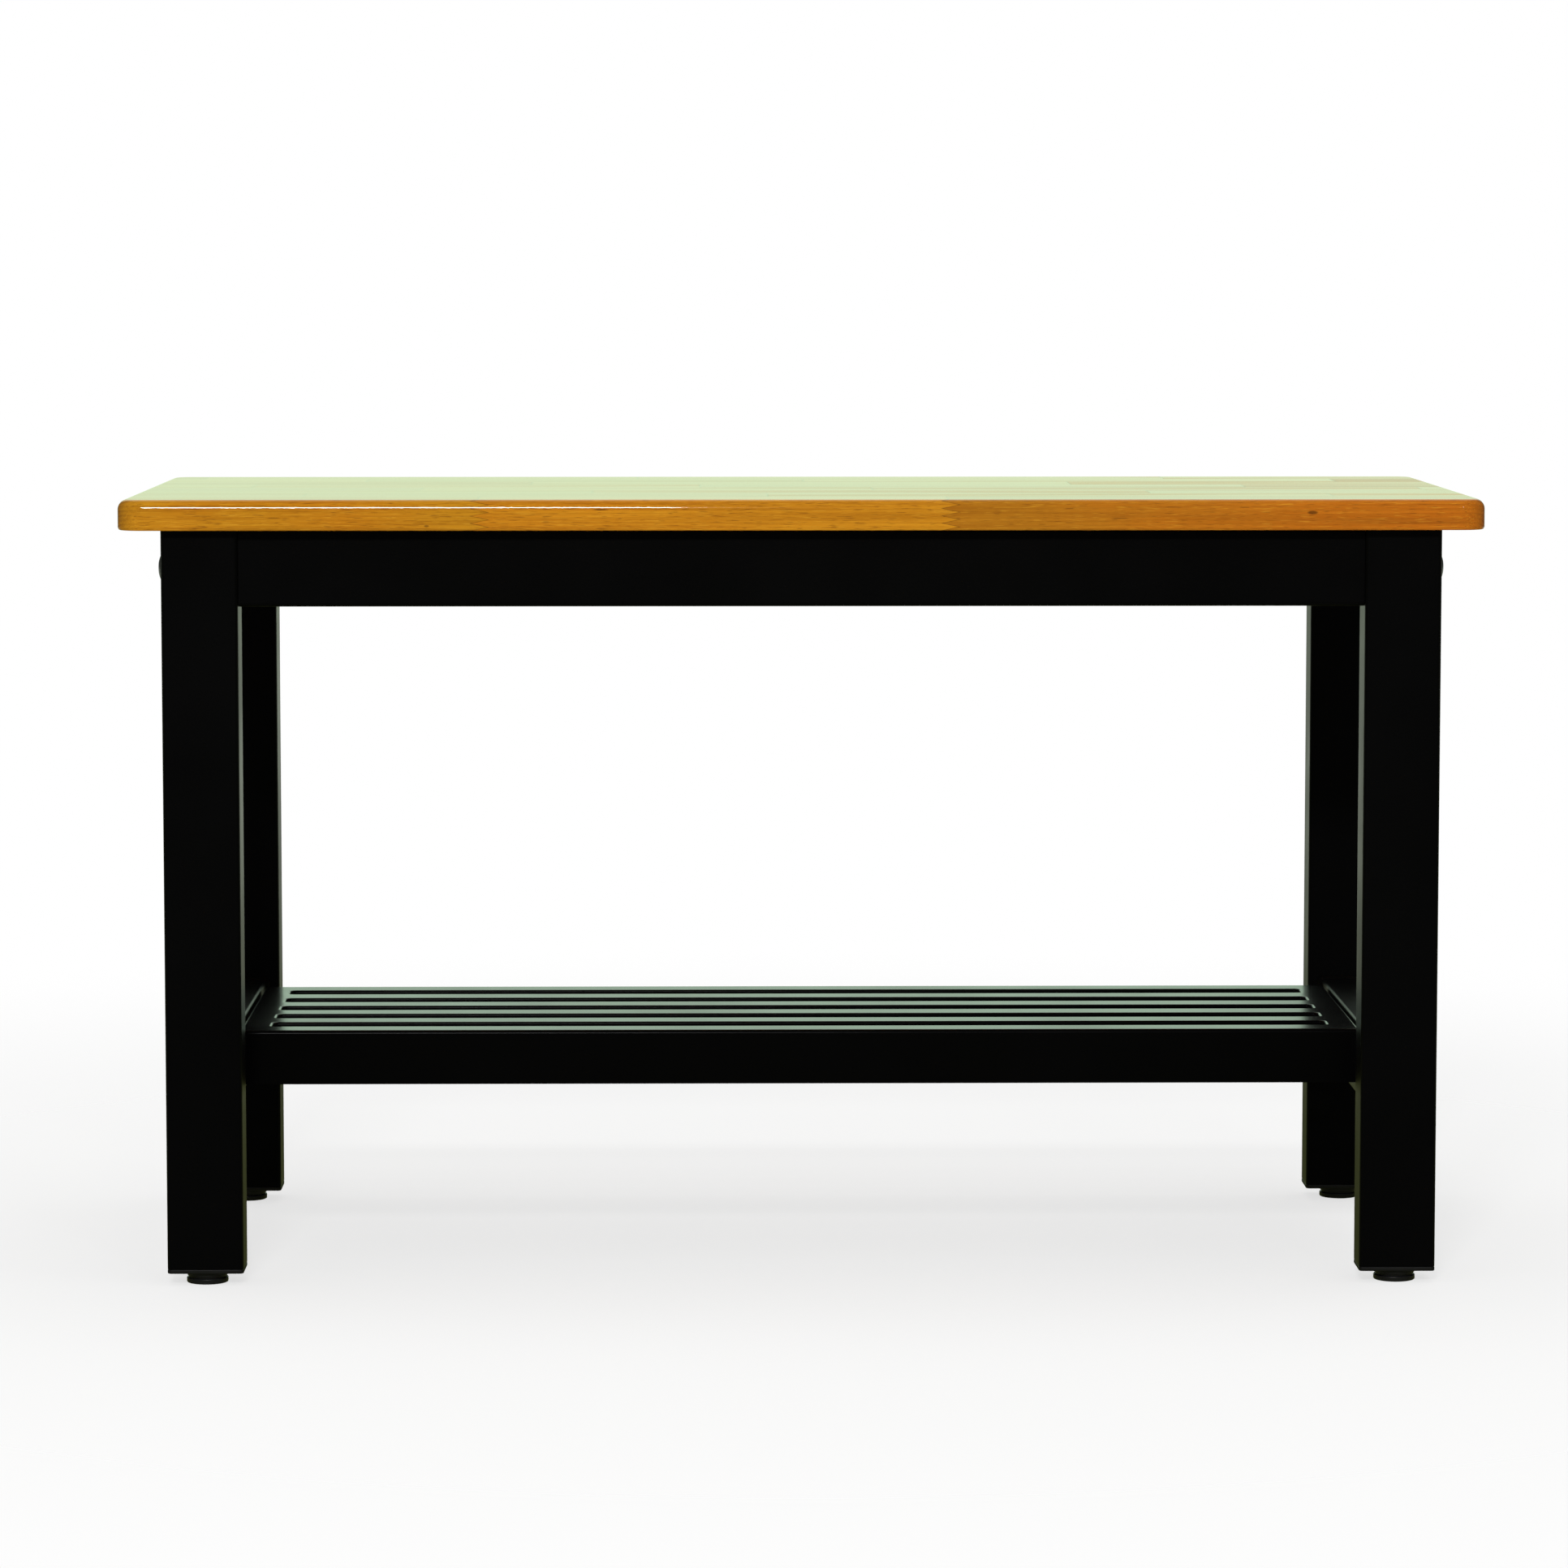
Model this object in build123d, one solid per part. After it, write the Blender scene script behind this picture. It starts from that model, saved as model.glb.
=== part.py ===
from build123d import *
import os
from math import asin, cos, sin

# Entryway bench: a timber seat board on a bolted steel frame, with a slotted shoe shelf and levelling feet.
# X runs along the seat, Y from the front to the back and Z up, with the origin on the floor under the middle.
# Every size is in millimetres.

# Seat board
seat_length = 800.0
seat_depth = 350.0
seat_thickness = 18.0
seat_height = 464.5
seat_corner_radius = 15.0
seat_top_round = 6.0
seat_bottom_round = 1.5
seat_end_overhang = 25.0
seat_front_overhang = 10.0

# Legs, rectangular tube
leg_width = 45.0
leg_depth = 30.0
leg_wall = 1.5
leg_corner_radius = 2.5

# Long aprons under the seat, rectangular tube
apron_height = 45.0
apron_depth = 25.0
apron_wall = 1.5
apron_corner_radius = 2.5

# Side rails between the front and back legs, rectangular tube
rail_width = 28.0
upper_rail_height = 45.0
lower_rail_height = 45.0
rail_wall = 1.5
rail_corner_radius = 2.5

# Shelf tray, one folded sheet
shelf_top = 143.5
tray_depth = 207.0
tray_flange = 32.5
tray_sheet = 1.5
tray_bend_radius = 2.5
slot_count = 5
slot_width = 17.5
slat_width = 20.0
slot_end_margin = 18.0
slot_corner_radius = 3.0
slot_lip = 5.0
slot_edge_round = 1.2

# Bolts through the legs into the aprons
bolt_diameter = 8.0
bolt_length = 60.0
bolt_hole_gap = 0.25
bolt_head_diameter = 16.0
bolt_head_height = 2.65
bolt_head_rim = 0.8
bolt_socket_width = 5.0
bolt_socket_depth = 1.6
end_plate_thickness = 4.0
weld_nut_width = 13.0
weld_nut_height = 6.5

# Tabs and wood screws that hold the seat board
tab_length = 40.0
tab_reach = 25.0
tab_thickness = 3.0
tab_corner_radius = 5.0
apron_tab_count = 3
apron_tab_spacing = 280.0
seat_screw_diameter = 4.5
seat_screw_length = 15.0
seat_screw_head_diameter = 9.0
seat_screw_head_height = 2.8
seat_screw_hole_gap = 0.5
screw_tip_gap = 0.5

# Rivet nuts and screws that hold the shelf tray
rivet_flange_diameter = 13.0
rivet_flange_thickness = 2.0
rivet_body_diameter = 9.0
rivet_body_length = 12.0
shelf_screw_diameter = 6.0
shelf_screw_length = 14.0
shelf_screw_head_diameter = 10.5
shelf_screw_head_height = 3.3
shelf_screw_hole_gap = 0.3
shelf_screw_spacing = 130.0
shelf_screw_socket_width = 4.0
shelf_screw_socket_depth = 2.0

# Plugs in the leg ends and the levelling feet
foot_height = 7.0
foot_base_diameter = 24.6
foot_base_height = 3.3
foot_base_edge = 0.8
foot_collar_diameter = 24.2
foot_collar_round = 0.9
foot_waist_diameter = 22.4
foot_waist_height = 0.7
foot_running_gap = 0.2
foot_pin_diameter = 6.0
foot_pin_length = 1.8
stud_diameter = 8.0
stud_reach = 34.0
plug_rim = 2.5
plug_body_height = 20.0
plug_fin_height = 2.0
plug_fin_count = 4
plug_core_inset = 1.5
insert_diameter = 12.0

# Clearances
thread_gap = 0.05
press_gap = 0.1

# Places worked out from the sizes above
frame_top = seat_height - seat_thickness
frame_length = seat_length - 2 * seat_end_overhang
frame_depth = seat_depth - 2 * seat_front_overhang
leg_x = frame_length / 2 - leg_width / 2
leg_y = frame_depth / 2 - leg_depth / 2
leg_bottom = foot_height + plug_rim
leg_length = frame_top - leg_bottom
apron_length = frame_length - 2 * leg_width
apron_z = frame_top - apron_height / 2
rail_length = frame_depth - 2 * leg_depth
upper_rail_z = frame_top - upper_rail_height / 2
lower_rail_z = shelf_top - lower_rail_height / 2
rail_inner_x = leg_x - rail_width / 2
tray_length = 2 * (rail_inner_x - rivet_flange_thickness)
slot_length = tray_length - 2 * slot_end_margin
shelf_screw_z = shelf_top - tray_flange / 2

ends = {"left": -1, "right": 1}
sides = {"front": -1, "back": 1}
corners = {f"{side}_{end}": (ends[end], sides[side]) for side in sides for end in ends}


def rounded_block(length, width, height, radius):
    """Upright block on z = 0 with rounded vertical edges."""
    return extrude(RectangleRounded(length, width, radius), height)


def inner_radius(corner_radius, wall):
    """Radius inside a bent wall, never quite sharp."""
    return max(corner_radius - wall, wall / 3)


def tube(width, depth, wall, corner_radius, length):
    """Rectangular tube standing on z = 0."""
    outside = rounded_block(width, depth, length, corner_radius)
    hollow_radius = inner_radius(corner_radius, wall)
    hollow = rounded_block(width - 2 * wall, depth - 2 * wall, length, hollow_radius)
    return outside - hollow


def rod(diameter, low, high):
    """Round bar on the Z axis between two heights."""
    return Pos(0, 0, (low + high) / 2) * Cylinder(diameter / 2, high - low)


def turned(points):
    """Solid of revolution about Z from (radius, height) points."""
    outline = make_face(Polyline(*points, close=True))
    return revolve(Plane.XZ * outline, Axis.Z)


def dome(diameter, low, height):
    """Spherical cap that stands on a height, for bolt and screw heads."""
    radius = diameter / 2
    ball = (radius**2 + height**2) / (2 * height)
    half_angle = asin(radius / ball) / 2
    centre = low + height - ball
    middle = (ball * sin(half_angle), centre + ball * cos(half_angle))
    arc = ThreePointArc((radius, low), middle, (0, low + height))
    down = Line((0, low + height), (0, low))
    across = Line((0, low), (radius, low))
    return revolve(Plane.XZ * make_face([arc, down, across]), Axis.Z)


def hex_bar(width, low, high):
    """Hexagonal bar on the Z axis, by its width across the flats."""
    outline = RegularPolygon(width / 2, 6, major_radius=False)
    return Pos(0, 0, low) * extrude(outline, high - low)


def one_solid_each(shapes):
    """Group of separate solids, for fasteners that share a node."""
    return Compound(children=[shape.solid() for shape in shapes])


def outward(end):
    """Turn that points a piece's +Z out of the bench's left or right end."""
    return Rot(0, 90 * end, 0)


def seat_screw_places():
    """Where the wood screws enter the seat board, with the tab's turn about Z."""
    apron_face = frame_depth / 2 - (leg_depth + apron_depth) / 2
    apron_y = apron_face - tab_reach / 2
    rail_x = rail_inner_x - tab_reach / 2
    places = []
    for side in sides.values():
        for number in range(apron_tab_count):
            offset = number - (apron_tab_count - 1) / 2
            places.append((offset * apron_tab_spacing, side * apron_y, 0))
    for end in ends.values():
        places.append((end * rail_x, 0, 90))
    return places


def seat_board():
    """Timber board with rounded corners and pilot holes for its screws."""
    board = rounded_block(seat_length, seat_depth, seat_thickness, seat_corner_radius)
    top_round = min(seat_top_round, 0.9 * seat_corner_radius, 0.6 * seat_thickness)
    bottom_round = min(seat_bottom_round, 0.3 * seat_thickness)
    board = fillet(board.faces().sort_by(Axis.Z)[-1].edges(), top_round)
    board = fillet(board.faces().sort_by(Axis.Z)[0].edges(), bottom_round)
    board = Pos(0, 0, frame_top) * board
    depth = seat_screw_length - tab_thickness + screw_tip_gap
    pilot = rod(seat_screw_diameter + 2 * thread_gap, frame_top, frame_top + depth)
    for x, y, turn in seat_screw_places():
        board -= Pos(x, y, 0) * pilot
    return board


def leg(end, side):
    """Upright tube with a cross hole for the apron bolt."""
    stock = tube(leg_width, leg_depth, leg_wall, leg_corner_radius, leg_length)
    upright = Pos(end * leg_x, side * leg_y, leg_bottom) * stock
    hole = Cylinder(bolt_diameter / 2 + bolt_hole_gap, leg_width + 2 * leg_wall)
    return upright - Pos(end * leg_x, side * leg_y, apron_z) * outward(end) * hole


def apron(side):
    """Long tube between the legs, centred on their depth."""
    stock = tube(apron_height, apron_depth, apron_wall, apron_corner_radius, apron_length)
    return Pos(-apron_length / 2, side * leg_y, apron_z) * Rot(0, 90, 0) * stock


def side_rail(end, height, z):
    """Tube from the front leg to the back leg, centred on their width."""
    stock = tube(rail_width, height, rail_wall, rail_corner_radius, rail_length)
    return Pos(end * leg_x, -rail_length / 2, z) * Rot(-90, 0, 0) * stock


def lower_rail(end):
    """Lower side rail with holes in its inner wall for the rivet nuts."""
    rail = side_rail(end, lower_rail_height, lower_rail_z)
    hole = rod(rivet_body_diameter + 2 * press_gap, -rail_width / 2, rail_wall)
    for y in shelf_screw_rows():
        rail -= Pos(end * rail_inner_x, y, shelf_screw_z) * outward(end) * hole
    return rail


def shelf_screw_rows():
    """Front and back places of the shelf screws at each end."""
    return (-shelf_screw_spacing / 2, shelf_screw_spacing / 2)


def shelf_tray():
    """Folded pan with slots whose edges are rolled down into lips."""
    pan = rounded_block(tray_length, tray_depth, tray_flange, tray_bend_radius)
    pan = fillet(pan.faces().sort_by(Axis.Z)[-1].edges(), 0.99 * tray_bend_radius)
    bend = inner_radius(tray_bend_radius, tray_sheet)
    under_height = tray_flange - tray_sheet
    under = rounded_block(tray_length - 2 * tray_sheet, tray_depth - 2 * tray_sheet, under_height, bend)
    under = fillet(under.faces().sort_by(Axis.Z)[-1].edges(), 0.99 * bend)
    pan -= under
    lip_length = slot_length + 2 * tray_sheet
    lip_width = slot_width + 2 * tray_sheet
    lip_block = rounded_block(lip_length, lip_width, slot_lip, slot_corner_radius + tray_sheet)
    opening = rounded_block(slot_length, slot_width, tray_flange, slot_corner_radius)
    slot_rows = [(row - (slot_count - 1) / 2) * (slot_width + slat_width) for row in range(slot_count)]
    for y in slot_rows:
        pan += Pos(0, y, tray_flange - tray_sheet / 2 - slot_lip) * lip_block
    for y in slot_rows:
        pan -= Pos(0, y, 0) * opening
    top = pan.faces().sort_by(Axis.Z)[-1]
    slot_edges = [edge for wire in top.inner_wires() for edge in wire.edges()]
    pan = fillet(slot_edges, min(slot_edge_round, 0.8 * tray_sheet))
    tray = Pos(0, 0, shelf_top - tray_flange) * pan
    hole = Cylinder(shelf_screw_diameter / 2 + shelf_screw_hole_gap, 4 * tray_sheet)
    for end in ends.values():
        for y in shelf_screw_rows():
            tray -= Pos(end * tray_length / 2, y, shelf_screw_z) * outward(end) * hole
    return tray


def apron_bolt():
    """Domed bolt with its head's underside at z = 0 and its shank below."""
    head = rod(bolt_head_diameter, 0, bolt_head_rim)
    head += dome(bolt_head_diameter, bolt_head_rim, bolt_head_height - bolt_head_rim)
    head -= hex_bar(bolt_socket_width, bolt_head_height - bolt_socket_depth, bolt_head_height)
    return head + rod(bolt_diameter, -bolt_length, 0)


def end_plate():
    """Plate that closes an apron's end and is drilled for the bolt, on z = 0."""
    width = apron_height - 2 * (apron_wall + press_gap)
    depth = apron_depth - 2 * (apron_wall + press_gap)
    radius = inner_radius(apron_corner_radius, apron_wall)
    plate = rounded_block(width, depth, end_plate_thickness, radius)
    return plate - rod(bolt_diameter + 2 * thread_gap, 0, end_plate_thickness)


def weld_nut():
    """Hexagon nut behind an end plate, on z = 0."""
    nut = hex_bar(weld_nut_width, 0, weld_nut_height)
    return nut - rod(bolt_diameter + 2 * thread_gap, 0, weld_nut_height)


def seat_tab():
    """Flat tab under the seat board, with its top at z = 0 and its screw hole at the origin."""
    plate = rounded_block(tab_length, tab_reach, tab_thickness, tab_corner_radius)
    hole = rod(seat_screw_diameter + 2 * seat_screw_hole_gap, 0, tab_thickness)
    return Pos(0, 0, -tab_thickness) * (plate - hole)


def seat_screw():
    """Wood screw seen from its head: head below z = 0, shank above."""
    head = rod(seat_screw_head_diameter, -seat_screw_head_height / 2, 0)
    head += Rot(180, 0, 0) * dome(seat_screw_head_diameter, seat_screw_head_height / 2, seat_screw_head_height / 2)
    return head + rod(seat_screw_diameter, 0, seat_screw_length)


def rivet_nut():
    """Rivet nut with its flange below z = 0 and its body above, in the rail."""
    nut = rod(rivet_flange_diameter, -rivet_flange_thickness, 0)
    nut += rod(rivet_body_diameter, 0, rivet_body_length)
    bore = shelf_screw_diameter + 2 * thread_gap
    return nut - rod(bore, -rivet_flange_thickness, rivet_body_length)


def shelf_screw():
    """Button-head screw with its head below z = 0 and its shank above."""
    head = rod(shelf_screw_head_diameter, -shelf_screw_head_height / 3, 0)
    cap = dome(shelf_screw_head_diameter, shelf_screw_head_height / 3, 2 * shelf_screw_head_height / 3)
    socket = hex_bar(
        shelf_screw_socket_width,
        shelf_screw_head_height - shelf_screw_socket_depth,
        shelf_screw_head_height,
    )
    head += Rot(180, 0, 0) * (cap - socket)
    head -= Rot(180, 0, 0) * socket
    return head + rod(shelf_screw_diameter, 0, shelf_screw_length)


def leg_plug():
    """Ribbed plug: a rim under the leg, on z = 0, and a finned body inside the tube."""
    rim = rounded_block(leg_width, leg_depth, plug_rim, leg_corner_radius)
    fin_length = leg_width - 2 * (leg_wall + press_gap)
    fin_width = leg_depth - 2 * (leg_wall + press_gap)
    radius = inner_radius(leg_corner_radius, leg_wall)
    core = rounded_block(fin_length - 2 * plug_core_inset, fin_width - 2 * plug_core_inset, plug_body_height, radius)
    plug = rim + Pos(0, 0, plug_rim) * core
    fin = rounded_block(fin_length, fin_width, plug_fin_height, radius)
    step = plug_body_height / plug_fin_count
    for number in range(plug_fin_count):
        plug += Pos(0, 0, plug_rim + number * step) * fin
    return plug - rod(insert_diameter + 2 * press_gap, 0, plug_rim + plug_body_height)


def threaded_insert():
    """Threaded sleeve that fills the plug's bore, on z = 0."""
    length = plug_rim + plug_body_height
    return rod(insert_diameter, 0, length) - rod(stud_diameter + 2 * thread_gap, 0, length)


def foot_base():
    """Round base that stays still on the floor while the stud turns in it."""
    radius = foot_base_diameter / 2
    edge = min(foot_base_edge, 0.4 * foot_base_height)
    base = turned([
        (0, 0),
        (radius - edge, 0),
        (radius, edge),
        (radius, foot_base_height - edge / 2),
        (radius - edge, foot_base_height),
        (0, foot_base_height),
    ])
    socket = foot_pin_diameter + 2 * thread_gap
    floor_of_socket = foot_base_height - foot_pin_length
    return base - rod(socket, floor_of_socket, foot_base_height)


def foot_collar():
    """Adjusting collar round the stud, with the waist above the base."""
    low = foot_base_height + foot_running_gap
    high = foot_height - foot_running_gap
    band_low = low + foot_waist_height
    band = rod(foot_collar_diameter, band_low, high)
    band = fillet(band.edges().filter_by(GeomType.CIRCLE), min(foot_collar_round, 0.4 * (high - band_low)))
    collar = band + rod(foot_waist_diameter, low, band_low + (high - band_low) / 2)
    return collar - rod(stud_diameter + 2 * thread_gap, low, high)


def foot_stud():
    """Threaded stud with the thin pin that turns in the base."""
    low = foot_base_height + foot_running_gap
    pin_low = foot_base_height - foot_pin_length + foot_running_gap
    shank = rod(stud_diameter, low, low + stud_reach)
    return shank + rod(foot_pin_diameter, pin_low, low)


def at_corners(piece, z):
    """Copies of a piece under all four legs."""
    return [Pos(end * leg_x, side * leg_y, z) * piece for end, side in corners.values()]


def at_apron_ends(piece, inset):
    """Copies of a piece on the four bolt axes, set in from the apron's ends and facing outwards."""
    x = apron_length / 2 - inset
    return [Pos(end * x, side * leg_y, apron_z) * outward(end) * piece for end, side in corners.values()]


def at_shelf_screws(piece, x):
    """Copies of a piece on the four shelf screw axes, facing outwards."""
    places = [(end, y) for end in ends.values() for y in shelf_screw_rows()]
    return [Pos(end * x, y, shelf_screw_z) * outward(end) * piece for end, y in places]


def seat_tabs(wanted_turn):
    """Tabs along the aprons, or at the side rails when they are turned."""
    tab = seat_tab()
    places = [place for place in seat_screw_places() if place[2] == wanted_turn]
    return [Pos(x, y, frame_top) * Rot(0, 0, turn) * tab for x, y, turn in places]


def build_nodes():
    """Every node of the bench by name."""
    nodes = {"seat_board": seat_board(), "shelf_tray": shelf_tray()}
    for name, (end, side) in corners.items():
        under_leg = Pos(end * leg_x, side * leg_y, 0)
        nodes[f"leg_{name}"] = leg(end, side)
        nodes[f"leg_plug_{name}"] = under_leg * Pos(0, 0, foot_height) * leg_plug()
        nodes[f"foot_base_{name}"] = under_leg * foot_base()
        nodes[f"foot_collar_{name}"] = under_leg * foot_collar()
        nodes[f"foot_stud_{name}"] = under_leg * foot_stud()
    for name, side in sides.items():
        nodes[f"apron_{name}"] = apron(side)
    for name, end in ends.items():
        nodes[f"upper_rail_{name}"] = side_rail(end, upper_rail_height, upper_rail_z)
        nodes[f"lower_rail_{name}"] = lower_rail(end)
    nodes["foot_inserts"] = one_solid_each(at_corners(threaded_insert(), foot_height))
    nodes["apron_end_plates"] = one_solid_each(at_apron_ends(end_plate(), end_plate_thickness))
    nut_inset = end_plate_thickness + weld_nut_height
    nodes["apron_weld_nuts"] = one_solid_each(at_apron_ends(weld_nut(), nut_inset))
    nodes["apron_bolts"] = one_solid_each(at_apron_ends(apron_bolt(), -leg_width))
    nodes["seat_tabs_aprons"] = one_solid_each(seat_tabs(0))
    nodes["seat_tabs_rails"] = one_solid_each(seat_tabs(90))
    screw = seat_screw()
    screw_z = frame_top - tab_thickness
    nodes["seat_screws"] = one_solid_each([Pos(x, y, screw_z) * screw for x, y, turn in seat_screw_places()])
    nodes["shelf_rivet_nuts"] = one_solid_each(at_shelf_screws(rivet_nut(), rail_inner_x))
    screw_x = tray_length / 2 - tray_sheet
    nodes["shelf_screws"] = one_solid_each(at_shelf_screws(shelf_screw(), screw_x))
    return nodes


os.makedirs("parts", exist_ok=True)
for node_name, shape in build_nodes().items():
    export_step(shape, f"parts/{node_name}.step")
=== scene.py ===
"""Entryway bench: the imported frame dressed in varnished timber, coated steel and moulded plastic."""
import logging
import math
from dataclasses import dataclass, field
from enum import Enum
from functools import cached_property
from typing import Protocol

import bmesh
import bpy
from bmesh.types import BMEdge, BMesh, BMFace, BMVert
from bpy.types import ID, Material, Mesh, Node, NodeSocket, NodeTree, Object
from mathutils import Matrix, Vector, noise


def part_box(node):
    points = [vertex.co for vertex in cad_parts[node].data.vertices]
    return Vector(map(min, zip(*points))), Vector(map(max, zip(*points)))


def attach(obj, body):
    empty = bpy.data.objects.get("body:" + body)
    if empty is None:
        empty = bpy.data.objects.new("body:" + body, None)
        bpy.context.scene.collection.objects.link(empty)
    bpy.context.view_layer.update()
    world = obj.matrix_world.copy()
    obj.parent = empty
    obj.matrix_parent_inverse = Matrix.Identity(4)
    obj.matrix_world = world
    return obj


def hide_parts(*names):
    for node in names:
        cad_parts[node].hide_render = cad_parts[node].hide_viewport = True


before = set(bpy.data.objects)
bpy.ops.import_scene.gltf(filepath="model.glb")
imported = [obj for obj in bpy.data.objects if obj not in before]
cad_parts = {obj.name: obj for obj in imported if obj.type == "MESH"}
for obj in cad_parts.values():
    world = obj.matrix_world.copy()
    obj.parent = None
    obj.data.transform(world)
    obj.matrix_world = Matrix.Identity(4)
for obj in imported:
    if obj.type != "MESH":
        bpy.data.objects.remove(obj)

LOG = logging.getLogger("bench")
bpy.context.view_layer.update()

# Points closer than this are one point, in metres.
HAIR = 1e-6

Pair = tuple[float, float]
Triple = tuple[float, float, float]
Colour = tuple[float, float, float, float]
Stops = tuple[tuple[float, Colour], ...]
Profile = list[Pair]


class Slot(Enum):
    """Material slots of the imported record."""

    TIMBER = "timber"
    COATED_TUBE = "coated_tube"
    COATED_SHEET = "coated_sheet"
    BOLT_BLACK = "bolt_black"
    ZINC_STEEL = "zinc_steel"
    PLUG_PLASTIC = "plug_plastic"
    FOOT_PLASTIC = "foot_plastic"


class Heading(Enum):
    """Ways that a piece made along +Z can point, each as a turn in degrees about one axis."""

    UP = (0.0, "Z")
    DOWN = (180.0, "X")
    RIGHT = (90.0, "Y")
    LEFT = (-90.0, "Y")
    BACK = (-90.0, "X")
    FRONT = (90.0, "X")

    @property
    def turn(self) -> Matrix:
        """The turn that takes +Z to this heading."""
        return Matrix.Rotation(math.radians(self.value[0]), 4, self.value[1])


class Corner(Enum):
    """The four legs, each with its side as signs of X and Y."""

    FRONT_LEFT = ("front_left", -1, -1)
    FRONT_RIGHT = ("front_right", 1, -1)
    BACK_LEFT = ("back_left", -1, 1)
    BACK_RIGHT = ("back_right", 1, 1)

    @property
    def label(self) -> str:
        """The corner's name in the node names."""
        return self.value[0]

    @property
    def headings(self) -> tuple[Heading, Heading]:
        """The ways along X that lead out of the bench and into it."""
        return (Heading.RIGHT, Heading.LEFT) if self.value[1] > 0 else (Heading.LEFT, Heading.RIGHT)

    def spot(self, along: float, across: float, height: float) -> Vector:
        """The point at this corner so far from the bench's middle along X and Y."""
        return Vector((self.value[1] * along, self.value[2] * across, height))


@dataclass(frozen=True)
class Extent:
    """Box round a CAD node, in metres."""

    low: Vector
    high: Vector

    @classmethod
    def of(cls, node: str) -> "Extent":
        """Measures the CAD node of that name."""
        low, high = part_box(node)
        return cls(Vector(low), Vector(high))

    @property
    def size(self) -> Vector:
        """Lengths of the sides."""
        return self.high - self.low

    @property
    def middle(self) -> Vector:
        """Centre of the box."""
        return (self.low + self.high) / 2

    @property
    def foot(self) -> Vector:
        """Centre of the box's underside."""
        return Vector((self.middle.x, self.middle.y, self.low.z))


@dataclass(frozen=True)
class Number:
    """A number in a shader tree, which takes the usual signs of arithmetic."""

    web: "NodeWeb"
    socket: NodeSocket

    def __add__(self, other: "Number | float") -> "Number":
        """Adds a number."""
        return self.web.math("ADD", self, other)

    def __sub__(self, other: "Number | float") -> "Number":
        """Takes a number away."""
        return self.web.math("SUBTRACT", self, other)

    def __rsub__(self, other: float) -> "Number":
        """Takes this number away from a plain one."""
        return self.web.math("SUBTRACT", other, self)

    def __mul__(self, other: "Number | float") -> "Number":
        """Multiplies by a number."""
        return self.web.math("MULTIPLY", self, other)

    def __truediv__(self, other: float) -> "Number":
        """Divides by a plain number."""
        return self.web.math("DIVIDE", self, other)

    def __abs__(self) -> "Number":
        """Drops the sign."""
        return self.web.math("ABSOLUTE", self)

    def fraction(self) -> "Number":
        """Drops the whole part."""
        return self.web.math("FRACT", self)


Feed = Number | NodeSocket | float | Triple | Colour


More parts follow.
